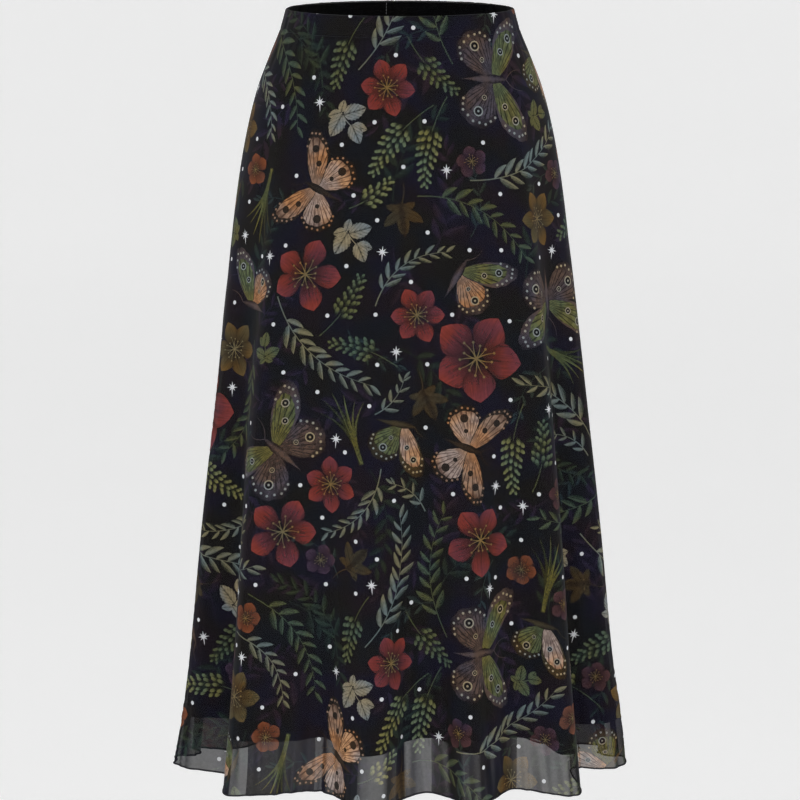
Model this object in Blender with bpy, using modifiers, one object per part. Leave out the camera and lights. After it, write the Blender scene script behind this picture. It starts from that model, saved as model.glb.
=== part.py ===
"""A-line midi skirt: a sheer outer layer over a shorter opaque lining, on an elastic waist.

Metres, +Z up. The skirt hangs as worn, hollow, with its front towards -Y. The origin is the
middle of the waist at the top edge of the waistband, where the wearer holds it up.

Every cloth wall is lofted through one set of level sections. A section is a half ellipse for the
front joined to a half ellipse for the back, pushed in and out along its normals by the folds.
"""

import math

import bmesh
import bpy
import numpy as np

# Driving sizes
SKIRT_LENGTH = 0.875
BAND_HEIGHT = 0.025
BAND_THICKNESS = 0.003
BAND_EDGE_ROUND = 0.0009
CLOTH = 0.0012
SEAM_GAP = 0.0003
SIDE_SEAM_SETBACK = 0.0002
LINING_LENGTH = 0.817
LINING_INSET_TOP = 0.0017
LINING_INSET = 0.0046
LINING_INSET_FULL_AT = 0.12

# How the folds grow towards the hem. The cloth hangs lower where a fold stands out, and across
# the front and back, and higher round the sides, which begin and end at these angles.
FOLD_GROWTH = 0.8
FOLD_HANG = 0.12
HEM_DIP = 0.005
HANG_POWER = 3
FRONT_ENDS_DEG = 54.0
SIDE_BEGINS_DEG = 82.0

# Mesh density, and the steps along the hem that measure its length
HEM_STEPS = 1920
PANEL_COLUMNS = 48
BAND_COLUMNS = 64
ROW_HEIGHT = 0.062
FINE_ROW_HEIGHT = 0.026
FINE_ROWS_DOWN_TO = 0.13
WELD = 1e-6
SHARP_EDGE_DEG = 60.0

SIDE_SEAM_DEG = 90.0
FULL_TURN_DEG = 360.0

# One row for each level section: how far it is below the waist, half its width, and its depth from
# the side seams to the centre front and to the centre back
SECTION_COLUMNS = ("drop", "half_width", "front_depth", "back_depth")
SECTIONS = (
    (0.000, 0.1280, 0.090, 0.094),
    (0.025, 0.1350, 0.095, 0.100),
    (0.050, 0.1452, 0.101, 0.108),
    (0.090, 0.1606, 0.109, 0.120),
    (0.138, 0.1727, 0.116, 0.129),
    (0.183, 0.1809, 0.120, 0.134),
    (0.230, 0.1874, 0.122, 0.137),
    (0.320, 0.1972, 0.125, 0.139),
    (0.460, 0.2105, 0.128, 0.142),
    (0.600, 0.2235, 0.132, 0.147),
    (0.740, 0.2345, 0.136, 0.152),
    (0.875, 0.2485, 0.141, 0.159),
)

# One row for each crest (out above 0) or valley (out below 0) round the skirt, from centre front
# through the wearer's left: its angle in degrees, how far it stands out at the hem, and the share
# of the length above which it has faded into the smooth cloth (angle_deg, out, starts_at)
FOLDS = (
    (7.5, -0.022, 0.45),
    (20.0, 0.020, 0.50),
    (33.0, -0.016, 0.42),
    (49.0, 0.023, 0.22),
    (63.5, -0.034, 0.12),
    (82.0, 0.014, 0.30),
    (98.0, -0.014, 0.35),
    (116.0, 0.018, 0.30),
    (134.0, -0.019, 0.40),
    (151.0, 0.021, 0.45),
    (166.0, -0.016, 0.50),
    (181.0, 0.018, 0.40),
    (197.0, -0.021, 0.35),
    (214.0, 0.019, 0.45),
    (229.0, -0.017, 0.40),
    (245.0, 0.018, 0.35),
    (262.0, -0.014, 0.40),
    (278.0, 0.014, 0.35),
    (297.5, -0.032, 0.20),
    (313.0, 0.023, 0.30),
    (337.0, -0.019, 0.45),
    (353.0, 0.021, 0.50),
)

# One row for each material (name, colour, roughness, metallic)
MATERIALS = (
    ("printed chiffon", (0.020, 0.022, 0.032), 0.75, 0.0),
    ("lining cloth", (0.006, 0.006, 0.010), 0.85, 0.0),
    ("waist casing", (0.018, 0.019, 0.028), 0.78, 0.0),
)


def column(rows, names, name):
    """One named column of a table, as an array."""
    return np.array([row[names.index(name)] for row in rows])


def eased(value):
    """0 to 1 with level ends, for a value from 0 to 1."""
    value = min(max(value, 0.0), 1.0)
    return value * value * (3.0 - 2.0 * value)


def smooth_curve(places, values):
    """A function through the given points that never swings past them (monotone cubic)."""
    gaps = np.diff(places)
    slopes = np.diff(values) / gaps
    tangents = np.zeros(len(places))
    tangents[0], tangents[-1] = slopes[0], slopes[-1]
    for i in range(1, len(places) - 1):
        if slopes[i - 1] * slopes[i] > 0:
            tangents[i] = 2 * slopes[i - 1] * slopes[i] / (slopes[i - 1] + slopes[i])

    def at(place):
        i = int(np.clip(np.searchsorted(places, place) - 1, 0, len(gaps) - 1))
        s = (place - places[i]) / gaps[i]
        rise = values[i + 1] - values[i]
        bend = (tangents[i] * gaps[i] - rise) * (1 - s) - (tangents[i + 1] * gaps[i] - rise) * s
        return values[i] + s * rise + s * (1 - s) * bend

    return at


def section_curve(name):
    drops = column(SECTIONS, SECTION_COLUMNS, "drop")
    return smooth_curve(drops, column(SECTIONS, SECTION_COLUMNS, name))


half_width_at = section_curve("half_width")
front_depth_at = section_curve("front_depth")
back_depth_at = section_curve("back_depth")


def fold_size(row, length_share):
    """How far one crest or valley stands out at this share of the skirt's length."""
    _angle_deg, out, starts_at = row
    grown = max(0.0, (length_share - starts_at) / (1.0 - starts_at))
    return out * grown**FOLD_GROWTH


def fold_out(angle_deg, drop):
    """How far the folds push the cloth out here, eased from each crest to the next valley."""
    share = drop / SKIRT_LENGTH
    turned = (angle_deg - FOLDS[0][0]) % FULL_TURN_DEG + FOLDS[0][0]
    following = 1
    while following < len(FOLDS) and FOLDS[following][0] <= turned:
        following += 1
    before = FOLDS[following - 1]
    after = FOLDS[following % len(FOLDS)]
    span = (after[0] - before[0]) % FULL_TURN_DEG
    blend = eased((turned - before[0]) / span)
    return (1 - blend) * fold_size(before, share) + blend * fold_size(after, share)


def hem_dip(angle):
    """How much lower the hem hangs at this angle: level across the front and back, up at the sides."""
    front_ends, side_begins = (math.sin(math.radians(a)) for a in (FRONT_ENDS_DEG, SIDE_BEGINS_DEG))
    sideways = eased((abs(math.sin(angle)) - front_ends) / (side_begins - front_ends))
    return HEM_DIP * (1.0 - 2.0 * sideways)


def skirt_point(angle_deg, drop, inset=0.0):
    """The cloth's outer face at this angle from centre front and this far below the waist.

    An inset moves it level, straight into the skirt.
    """
    angle = math.radians(angle_deg)
    across, along = math.sin(angle), math.cos(angle)
    half_width = half_width_at(drop)
    depth = front_depth_at(drop) if along >= 0 else back_depth_at(drop)
    normal_x, normal_y = depth * across, -half_width * along
    length = math.hypot(normal_x, normal_y)
    folded = fold_out(angle_deg, drop)
    out = (folded - inset) / length
    hang = (FOLD_HANG * folded + hem_dip(angle)) * (drop / SKIRT_LENGTH) ** HANG_POWER
    return np.array(
        (half_width * across + normal_x * out, -depth * along + normal_y * out, -drop - hang)
    )


def lining_inset(drop):
    grown = eased(drop / LINING_INSET_FULL_AT)
    return LINING_INSET_TOP + (LINING_INSET - LINING_INSET_TOP) * grown


def evenly_round_hem(first_deg, last_deg, count):
    """Angles that split the hem between two angles into stretches of equal length."""
    trial = np.linspace(first_deg, last_deg, HEM_STEPS + 1)
    points = np.array([skirt_point(angle, SKIRT_LENGTH) for angle in trial])
    run = np.concatenate([[0.0], np.cumsum(np.linalg.norm(np.diff(points, axis=0), axis=1))])
    return np.interp(np.linspace(0.0, run[-1], count + 1), run, trial)


def row_drops(last):
    """The heights of a panel's rows, closer together where the hip curves."""
    first = BAND_HEIGHT + SEAM_GAP
    fine = max(1, round((FINE_ROWS_DOWN_TO - first) / FINE_ROW_HEIGHT))
    plain = max(1, round((last - FINE_ROWS_DOWN_TO) / ROW_HEIGHT))
    upper = np.linspace(first, FINE_ROWS_DOWN_TO, fine + 1)
    return np.concatenate([upper, np.linspace(FINE_ROWS_DOWN_TO, last, plain + 1)[1:]])


def grid_mesh(name, columns, rows, place, closed=False):
    """A grid bent into shape: place(i, j) gives the point in column i and row j.

    A closed grid is joined to itself both ways, as a ring with a closed profile is.
    """
    bm = bmesh.new()
    bmesh.ops.create_grid(bm, x_segments=columns, y_segments=rows, size=1.0)
    for vert in bm.verts:
        i = round((vert.co.x + 1.0) * 0.5 * columns)
        j = round((1.0 - vert.co.y) * 0.5 * rows)
        vert.co = place(i % columns, j % rows) if closed else place(i, j)
    if closed:
        bmesh.ops.remove_doubles(bm, verts=bm.verts, dist=WELD)
    bmesh.ops.recalc_face_normals(bm, faces=bm.faces)
    mesh = bpy.data.meshes.new(name)
    bm.to_mesh(mesh)
    bm.free()
    return mesh


def new_material(row):
    name, colour, roughness, metallic = row
    material = bpy.data.materials.new(name)
    material.use_nodes = True
    shader = material.node_tree.nodes["Principled BSDF"]
    shader.inputs["Base Color"].default_value = (*colour, 1.0)
    shader.inputs["Roughness"].default_value = roughness
    shader.inputs["Metallic"].default_value = metallic
    material.diffuse_color = (*colour, 1.0)
    return material


def add_object(name, mesh, material, collection):
    mesh.materials.append(material)
    mesh.shade_smooth()
    mesh.set_sharp_from_angle(angle=math.radians(SHARP_EDGE_DEG))
    obj = bpy.data.objects.new(name, mesh)
    collection.objects.link(obj)
    return obj


def face_outwards(mesh):
    """Turns an open panel's faces away from the skirt's middle line."""
    outward = sum(
        face.area * (face.normal.x * face.center.x + face.normal.y * face.center.y)
        for face in mesh.polygons
    )
    if outward < 0:
        mesh.flip_normals()


def add_panel(name, middle_deg, last_drop, inset_at, material, collection):
    """A front or back panel between the side seams, from the waistband to its hem."""
    angles = evenly_round_hem(
        middle_deg - SIDE_SEAM_DEG, middle_deg + SIDE_SEAM_DEG, PANEL_COLUMNS
    )
    drops = row_drops(last_drop)
    points = np.array(
        [[skirt_point(angle, drop, inset_at(drop)) for drop in drops] for angle in angles]
    )
    for edge, beside in ((0, 1), (-1, -2)):
        inwards = points[beside] - points[edge]
        reach = np.linalg.norm(inwards, axis=1, keepdims=True)
        points[edge] += inwards / reach * SIDE_SEAM_SETBACK
    mesh = grid_mesh(name, PANEL_COLUMNS, len(drops) - 1, lambda i, j: points[i, j])
    face_outwards(mesh)
    panel = add_object(name, mesh, material, collection)
    wall = panel.modifiers.new("cloth", "SOLIDIFY")
    wall.thickness = CLOTH
    wall.offset = -1.0
    return panel


def band_profile():
    """The waistband's cross-section as (inset, drop) pairs: flat walls with a rounded top."""
    outer, inner, edge = 0.0, BAND_THICKNESS, BAND_EDGE_ROUND
    bend = edge * (1 - math.sqrt(0.5))
    return (
        (outer, BAND_HEIGHT),
        (outer, BAND_HEIGHT * 0.5),
        (outer, edge),
        (outer + bend, bend),
        (outer + edge, 0.0),
        (inner - edge, 0.0),
        (inner - bend, bend),
        (inner, edge),
        (inner, BAND_HEIGHT * 0.5),
        (inner, BAND_HEIGHT),
    )


def add_band(name, material, collection):
    """The waist casing with its elastic: one ring, joined at the centre back."""
    profile = band_profile()

    def place(i, j):
        inset, drop = profile[j]
        return skirt_point(FULL_TURN_DEG * i / BAND_COLUMNS, drop, inset)

    mesh = grid_mesh(name, BAND_COLUMNS, len(profile), place, closed=True)
    return add_object(name, mesh, material, collection)


def main():
    for obj in list(bpy.data.objects):
        bpy.data.objects.remove(obj)
    collection = bpy.data.collections.new("a_line_skirt")
    bpy.context.scene.collection.children.link(collection)
    chiffon, lining, casing = (new_material(row) for row in MATERIALS)
    add_band("waistband", casing, collection)
    for side, middle_deg in (("front", 0.0), ("back", 180.0)):
        add_panel(
            f"outer_{side}", middle_deg, SKIRT_LENGTH, lambda drop: 0.0, chiffon, collection
        )
        add_panel(
            f"lining_{side}", middle_deg, LINING_LENGTH, lining_inset, lining, collection
        )


main()
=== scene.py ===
"""The looks of an A-line midi skirt: sheer printed chiffon over a dark lining, on an elastic waist.

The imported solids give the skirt's size and place. Each cloth is cut here as a flat pattern, printed
while it is flat, and wrapped onto the form that its solid was lofted through, with its finer folds.
"""

import logging
import math
from dataclasses import dataclass, field, replace
from enum import Enum
from typing import Callable, Sequence

import bmesh
import bpy
import numpy as np
from bpy.types import Material, Mesh, Node, NodeSocket, NodeTree, Object
from mathutils import Matrix, Vector
from mathutils.geometry import delaunay_2d_cdt


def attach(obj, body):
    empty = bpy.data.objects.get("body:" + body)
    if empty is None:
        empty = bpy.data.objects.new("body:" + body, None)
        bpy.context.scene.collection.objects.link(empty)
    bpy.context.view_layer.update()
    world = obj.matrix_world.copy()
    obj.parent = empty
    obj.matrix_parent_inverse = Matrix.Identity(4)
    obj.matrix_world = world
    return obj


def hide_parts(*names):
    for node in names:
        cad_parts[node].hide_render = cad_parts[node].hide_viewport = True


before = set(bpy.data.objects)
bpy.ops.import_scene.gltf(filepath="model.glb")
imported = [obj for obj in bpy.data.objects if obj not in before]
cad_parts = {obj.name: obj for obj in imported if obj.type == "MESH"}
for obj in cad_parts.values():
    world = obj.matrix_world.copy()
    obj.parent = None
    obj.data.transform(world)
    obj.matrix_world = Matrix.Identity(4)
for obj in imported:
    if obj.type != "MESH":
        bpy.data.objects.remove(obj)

Array = np.ndarray
log = logging.getLogger("skirt")

BODY = "root"
FULL_TURN_DEG = 360.0
SIDE_SEAM_DEG = 90.0
FRONT_DEG = 0.0
BACK_DEG = 180.0


def eased(value: Array) -> Array:
    """Rises from 0 to 1 with level ends; values outside are held there."""
    held = np.clip(value, 0.0, 1.0)
    return held * held * (3.0 - 2.0 * held)


def unit(vectors: Array) -> Array:
    """Scales vectors, in the last axis, to length 1."""
    return vectors / np.maximum(np.linalg.norm(vectors, axis=-1, keepdims=True), 1e-12)


def wrapped(degrees: Array) -> Array:
    """Brings angles to between -180 and 180 degrees."""
    return (degrees + 180.0) % FULL_TURN_DEG - 180.0


def run_along(line: Array) -> Array:
    """The distance of each point of a line from its first, along it."""
    return np.concatenate([[0.0], np.cumsum(np.linalg.norm(np.diff(line, axis=0), axis=1))])


def read_at(place: Array, places: Array, rows: Array) -> Array:
    """Reads rows of values between the places where they are given."""
    return np.array([np.interp(place, places, column) for column in rows.T]).T


def grid_faces(rows: int, columns: int) -> Array:
    """Four-sided faces between the points of a grid that is stored row by row."""
    index = np.arange(rows * columns).reshape(rows, columns)
    corners = [index[1:, :-1], index[1:, 1:], index[:-1, 1:], index[:-1, :-1]]
    return np.stack(corners, axis=-1).reshape(-1, 4)


class SmoothCurve:
    """A curve through given points that never swings past them (monotone cubic)."""

    def __init__(self, places: Array, values: Array) -> None:
        """Works out the slope at each point.

        Args:
            places: Where the points are, rising.
            values: The values there.
        """
        self.places, self.values = places, values
        self.gaps = np.diff(places)
        slopes = np.diff(values) / self.gaps
        before, after = slopes[:-1], slopes[1:]
        same_way = before * after > 0
        total = np.where(same_way, before + after, 1.0)
        inner = np.where(same_way, 2.0 * before * after / total, 0.0)
        self.tangents = np.concatenate([slopes[:1], inner, slopes[-1:]])

    def __call__(self, place: Array) -> Array:
        """Reads the curve.

        Args:
            place: Where to read it.

        Returns:
            The values there.
        """
        i = np.clip(np.searchsorted(self.places, place) - 1, 0, len(self.gaps) - 1)
        s = (place - self.places[i]) / self.gaps[i]
        rise = self.values[i + 1] - self.values[i]
        bend = (self.tangents[i] * self.gaps[i] - rise) * (1 - s)
        bend = bend - (self.tangents[i + 1] * self.gaps[i] - rise) * s
        return self.values[i] + s * rise + s * (1 - s) * bend


# The skirt's form, as its solids have it. Each row is a level section: its drop below the waist, its
# half width, and its depth in front and behind
SECTIONS = (
    (0.000, 0.1280, 0.090, 0.094), (0.025, 0.1350, 0.095, 0.100), (0.050, 0.1452, 0.101, 0.108),
    (0.090, 0.1606, 0.109, 0.120), (0.138, 0.1727, 0.116, 0.129), (0.183, 0.1809, 0.120, 0.134),
    (0.230, 0.1874, 0.122, 0.137), (0.320, 0.1972, 0.125, 0.139), (0.460, 0.2105, 0.128, 0.142),
    (0.600, 0.2235, 0.132, 0.147), (0.740, 0.2345, 0.136, 0.152), (0.875, 0.2485, 0.141, 0.159),
)

# The large folds of the solids, crests (out above 0) and valleys: the angle from centre front, how
# far each stands out at the hem, and the share of the length where it starts
FOLDS = (
    (7.5, -0.022, 0.45), (20.0, 0.020, 0.50), (33.0, -0.016, 0.42), (49.0, 0.023, 0.22),
    (63.5, -0.034, 0.12), (82.0, 0.014, 0.30), (98.0, -0.014, 0.35), (116.0, 0.018, 0.30),
    (134.0, -0.019, 0.40), (151.0, 0.021, 0.45), (166.0, -0.016, 0.50), (181.0, 0.018, 0.40),
    (197.0, -0.021, 0.35), (214.0, 0.019, 0.45), (229.0, -0.017, 0.40), (245.0, 0.018, 0.35),
    (262.0, -0.014, 0.40), (278.0, 0.014, 0.35), (297.5, -0.032, 0.20), (313.0, 0.023, 0.30),
    (337.0, -0.019, 0.45), (353.0, 0.021, 0.50),
)

# The finer creases, ridges (height above 0) and soft troughs: the angle from centre front, how many
# degrees each leans on its way down, its top and bottom drop, its half breadth and its height
CREASES = (
    # Front, from the wearer's right side seam to the left
    (-83.0, 2.0, 0.30, 0.900, 0.0090, -0.0030), (-74.0, 3.0, 0.52, 0.905, 0.0060, 0.0028),
    (-55.0, 2.5, 0.10, 0.420, 0.0120, -0.0022), (-43.0, 4.0, 0.66, 0.905, 0.0042, 0.0026),
    (-38.5, 3.0, 0.72, 0.905, 0.0036, -0.0034), (-33.0, 5.0, 0.34, 0.800, 0.0130, -0.0030),
    (-28.0, 2.0, 0.70, 0.905, 0.0050, 0.0030), (-22.5, -3.0, -0.010, 0.055, 0.0042, 0.0007),
    (-19.0, 1.0, -0.010, 0.048, 0.0034, -0.0006), (-17.5, 3.5, 0.58, 0.905, 0.0048, -0.0028),
    (-12.0, -2.0, 0.12, 0.500, 0.0150, -0.0022), (-3.5, 1.5, 0.64, 0.905, 0.0055, 0.0030),
    (1.3, 0.8, 0.56, 0.905, 0.0040, -0.0045), (4.0, -2.0, 0.20, 0.640, 0.0140, -0.0028),
    (8.4, 1.5, 0.73, 0.905, 0.0034, 0.0032), (13.4, 1.0, 0.66, 0.905, 0.0036, -0.0040),
    (17.0, -4.0, 0.05, 0.330, 0.0120, -0.0018), (24.5, 2.0, 0.62, 0.905, 0.0046, -0.0036),
    (29.0, 2.0, 0.74, 0.905, 0.0040, 0.0026), (36.0, -2.5, 0.30, 0.760, 0.0130, -0.0028),
    (42.0, 3.0, 0.60, 0.905, 0.0044, -0.0034), (45.5, 2.0, 0.70, 0.905, 0.0040, 0.0026),
    (55.0, -2.0, 0.12, 0.460, 0.0110, -0.0020), (73.0, -2.0, 0.58, 0.905, 0.0058, -0.0030),
    (81.0, -2.0, 0.74, 0.905, 0.0040, 0.0022),
    # Back, from the wearer's left side seam to the right
    (97.0, 2.0, 0.34, 0.905, 0.0080, -0.0026), (106.0, 3.0, 0.66, 0.905, 0.0046, 0.0028),
    (112.0, -2.0, 0.18, 0.560, 0.0130, -0.0024), (122.0, -2.0, 0.60, 0.905, 0.0050, -0.0032),
    (129.0, 2.5, 0.72, 0.905, 0.0040, 0.0026), (139.0, 3.0, 0.28, 0.780, 0.0120, -0.0026),
    (146.0, -1.5, 0.62, 0.905, 0.0044, -0.0034), (156.0, 2.0, 0.56, 0.905, 0.0052, 0.0030),
    (161.0, -2.0, 0.06, 0.380, 0.0130, -0.0020), (170.0, 2.0, 0.66, 0.905, 0.0040, -0.0034),
    (176.0, -1.0, 0.74, 0.905, 0.0036, 0.0028), (185.5, 1.5, 0.58, 0.905, 0.0050, -0.0036),
    (191.0, 3.0, 0.24, 0.700, 0.0140, -0.0026), (202.0, -2.0, 0.68, 0.905, 0.0042, 0.0030),
    (207.0, -2.5, 0.12, 0.440, 0.0120, -0.0020), (212.5, 1.5, 0.60, 0.905, 0.0048, -0.0030),
    (222.0, 2.0, 0.70, 0.905, 0.0040, 0.0026), (233.0, 3.0, 0.36, 0.820, 0.0120, -0.0026),
    (240.0, -2.0, 0.64, 0.905, 0.0046, -0.0032), (251.0, 1.0, 0.58, 0.905, 0.0050, 0.0028),
    (258.0, -2.0, 0.16, 0.520, 0.0120, -0.0022), (268.0, 2.0, 0.50, 0.905, 0.0060, -0.0028),
)

# Small waves round the skirt, added up: how many in a full turn, their height and where they start
WAIST_GATHERS = (
    (31, 0.00030, 0.4), (47, 0.00022, 2.1), (73, 0.00012, 4.0),
)
HEM_RIPPLES = (
    (71, 0.0013, 0.9), (107, 0.0008, 2.6), (163, 0.0003, 5.2),
)

# Where the hem's ripples are drawn together: an angle from centre front and a half breadth
BUNCHES = (
    (-80.0, 6.0), (-33.0, 6.5), (-19.0, 6.0), (17.0, 6.0), (42.0, 6.0), (72.0, 7.0), (103.0, 7.0),
    (127.0, 6.0), (158.0, 8.0), (188.0, 7.0), (211.0, 6.0), (238.0, 8.0), (266.0, 5.0),
)

# Where the hem is lifted (above 0) or dips: an angle from centre front, a half breadth, a height
HEM_LIFTS = (
    (-85.5, 5.5, 0.0075), (-66.0, 8.0, -0.0055), (-42.0, 5.0, 0.0020), (-12.0, 6.0, -0.0018),
    (28.0, 6.0, 0.0016), (85.5, 5.0, 0.0070), (73.0, 5.0, -0.0022), (124.0, 8.0, 0.0035),
    (158.0, 7.0, -0.0030), (206.0, 8.0, 0.0030), (236.0, 7.0, -0.0028),
)

# Where the sheer cloth below the lining is folded over behind, so that it is more than one thick:
# from and to a distance along the hem from the panel's middle, and its thicknesses
FRONT_FOLD_OVERS = (
    (-0.3050, -0.2370, 2.00), (-0.2370, -0.2310, 1.45), (-0.2100, -0.1485, 1.80),
    (-0.1485, -0.1280, 1.86), (-0.1280, -0.0890, 1.34), (-0.0890, -0.0680, 2.15),
    (-0.0680, -0.0585, 1.55), (-0.0585, -0.0210, 1.10), (-0.0210, -0.0070, 1.24),
    (-0.0070, 0.0085, 1.52), (0.0445, 0.0690, 1.52), (0.0690, 0.1150, 1.68), (0.1150, 0.1480, 1.56),
    (0.1480, 0.1690, 1.32), (0.1690, 0.1800, 1.72),
)
BACK_FOLD_OVERS = (
    (-0.3300, -0.2450, 1.90), (-0.1700, -0.0880, 2.00), (-0.0250, 0.0400, 1.70), (0.0950, 0.1380, 2.00),
    (0.2150, 0.3100, 1.85),
)

# How much longer the lining hangs at each angle from centre front
LINING_EDGE = (
    (-90.0, 0.000), (-78.0, -0.001), (-66.0, -0.003), (-52.0, -0.004), (-30.0, 0.000), (-22.0, -0.003),
    (-15.0, 0.006), (-5.0, 0.002), (3.0, -0.004), (10.0, -0.004), (18.0, 0.003), (26.0, 0.006),
    (33.0, 0.000), (40.0, -0.001), (46.0, 0.013), (53.0, 0.014), (60.0, 0.006), (70.0, 0.007),
    (80.0, 0.005), (90.0, 0.001), (112.0, 0.003), (124.0, -0.005), (140.0, 0.006), (152.0, -0.003),
    (168.0, -0.004), (183.0, 0.006), (197.0, 0.004), (208.0, -0.004), (226.0, 0.005), (240.0, -0.003),
    (256.0, 0.003), (270.0, 0.000),
)


@dataclass
class SkirtForm:
    """The worn skirt's surface, which every cloth follows at its own inset.

    Angles run from centre front through the wearer's left. A drop is a distance below the waist.
    """

    length: float = 0.875
    fold_growth: float = 0.8
    fold_hang: float = 0.12
    hem_dip_size: float = 0.005
    hang_power: float = 3.0
    lift_power: float = 12.0
    front_ends_deg: float = 54.0
    side_begins_deg: float = 82.0
    crease_fade: float = 0.09
    gathers_peak: float = 0.030
    gathers_end: float = 0.085
    gathers_in_band: float = 0.55
    ripple_reach: float = 0.120
    calm: float = 0.22

    def __post_init__(self) -> None:
        """Reads the tables."""
        drops, *sizes = np.array(SECTIONS).T
        self.half_width, self.front_depth, self.back_depth = (SmoothCurve(drops, row) for row in sizes)
        self.folds = np.array(FOLDS).T

    def fold_out(self, angle_deg: Array, drop: Array) -> Array:
        """How far the large folds push the cloth out, eased from each crest to the next valley.

        Args:
            angle_deg: Angles from centre front.
            drop: Drops below the waist.

        Returns:
            Distances along the outward normal.
        """
        angles, out, starts = self.folds
        share = drop / self.length
        turned = (angle_deg - angles[0]) % FULL_TURN_DEG + angles[0]
        following = np.searchsorted(angles, turned, side="right")
        before, after = following - 1, following % len(angles)
        blend = eased((turned - angles[before]) / ((angles[after] - angles[before]) % FULL_TURN_DEG))

        def size(row: Array) -> Array:
            """The size of each point's crest or valley at its share of the length."""
            grown = np.maximum(0.0, (share - starts[row]) / (1.0 - starts[row]))
            return out[row] * grown**self.fold_growth

        return (1 - blend) * size(before) + blend * size(after)

    def crease_out(self, angle_deg: Array, drop: Array) -> Array:
        """How far the finer creases push the cloth out.

        Args:
            angle_deg: Angles from centre front.
            drop: Drops below the waist.

        Returns:
            Distances along the outward normal.
        """
        radius = np.hypot(self.half_width(drop), self.front_depth(drop)) / math.sqrt(2.0)
        total = np.zeros_like(drop)
        for angle, lean, top, bottom, half_breadth, height in CREASES:
            near = (drop > top) & (drop < bottom)
            down = np.clip((drop - top) / (bottom - top), 0.0, 1.0)
            away = np.radians(wrapped(angle_deg - angle + lean * (1 - down))) * radius / half_breadth
            fade = min(self.crease_fade, 0.45 * (bottom - top))
            ends = eased((drop - top) / fade) * eased((bottom - drop) / fade)
            total += np.where(near, height * ends * np.exp(-away * away), 0.0)
        return total

    def waves_out(self, waves: Sequence[tuple], angle_deg: Array) -> Array:
        """Adds up a table of small waves at each angle."""
        turn = np.radians(angle_deg)
        return sum(height * np.sin(count * turn + phase) for count, height, phase in waves)

    def fine_out(self, angle_deg: Array, drop: Array) -> Array:
        """Waist gathers and hem ripples.

        Args:
            angle_deg: Angles from centre front.
            drop: Drops below the waist.

        Returns:
            Distances along the outward normal.
        """
        below = eased((self.gathers_end - drop) / (self.gathers_end - self.gathers_peak))
        above = self.gathers_in_band + (1 - self.gathers_in_band) * eased(drop / self.gathers_peak)
        gathers = self.waves_out(WAIST_GATHERS, angle_deg) * below * above
        near_hem = eased((drop - self.length) / self.ripple_reach + 1.0)
        bunched = np.full_like(drop, self.calm)
        for angle, half_breadth in BUNCHES:
            bunched += np.exp(-((wrapped(angle_deg - angle) / half_breadth) ** 4))
        return gathers + self.waves_out(HEM_RIPPLES, angle_deg) * near_hem * bunched

    def hem_lift(self, angle_deg: Array) -> Array:
        """How far the hem is lifted at each angle."""
        lift = np.zeros_like(angle_deg)
        for angle, half_breadth, height in HEM_LIFTS:
            away = wrapped(angle_deg - angle) / half_breadth
            lift += height * np.exp(-away * away)
        return lift

    def point(self, angle_deg: Array, drop: Array, inset: Array) -> Array:
        """Points of the worn surface.

        Args:
            angle_deg: Angles from centre front.
            drop: Drops below the waist.
            inset: How far each lies inside the cloth's outer face, measured level.

        Returns:
            One point a row.
        """
        angle = np.radians(angle_deg)
        across, along = np.sin(angle), np.cos(angle)
        half_width = self.half_width(drop)
        depth = np.where(along >= 0, self.front_depth(drop), self.back_depth(drop))
        normal = np.stack([depth * across, -half_width * along], axis=-1)
        folded = self.fold_out(angle_deg, drop)
        pushed = folded + self.crease_out(angle_deg, drop) + self.fine_out(angle_deg, drop)
        level = np.stack([half_width * across, -depth * along], axis=-1)
        level = level + unit(normal) * (pushed - inset)[..., None]
        front_ends, side_begins = np.sin(np.radians([self.front_ends_deg, self.side_begins_deg]))
        sideways = eased((np.abs(across) - front_ends) / (side_begins - front_ends))
        dip = self.hem_dip_size * (1.0 - 2.0 * sideways)
        hang = (self.fold_hang * folded + dip) * (drop / self.length) ** self.hang_power
        hang = hang - self.hem_lift(angle_deg) * (drop / self.length) ** self.lift_power
        return np.concatenate([level, (-drop - hang)[..., None]], axis=-1)


# ---- The print: a generic scatter of flowers, leaves, butterflies, stars and dots ----


class Look(Enum):
    """How the inside of a printed shape is drawn."""

    GROUND = 0
    LEAF = 1
    PETAL = 2
    WING = 3
    FLAT = 4
    BUD = 5
    BROAD_LEAF = 6
    SCALE = 7


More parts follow.
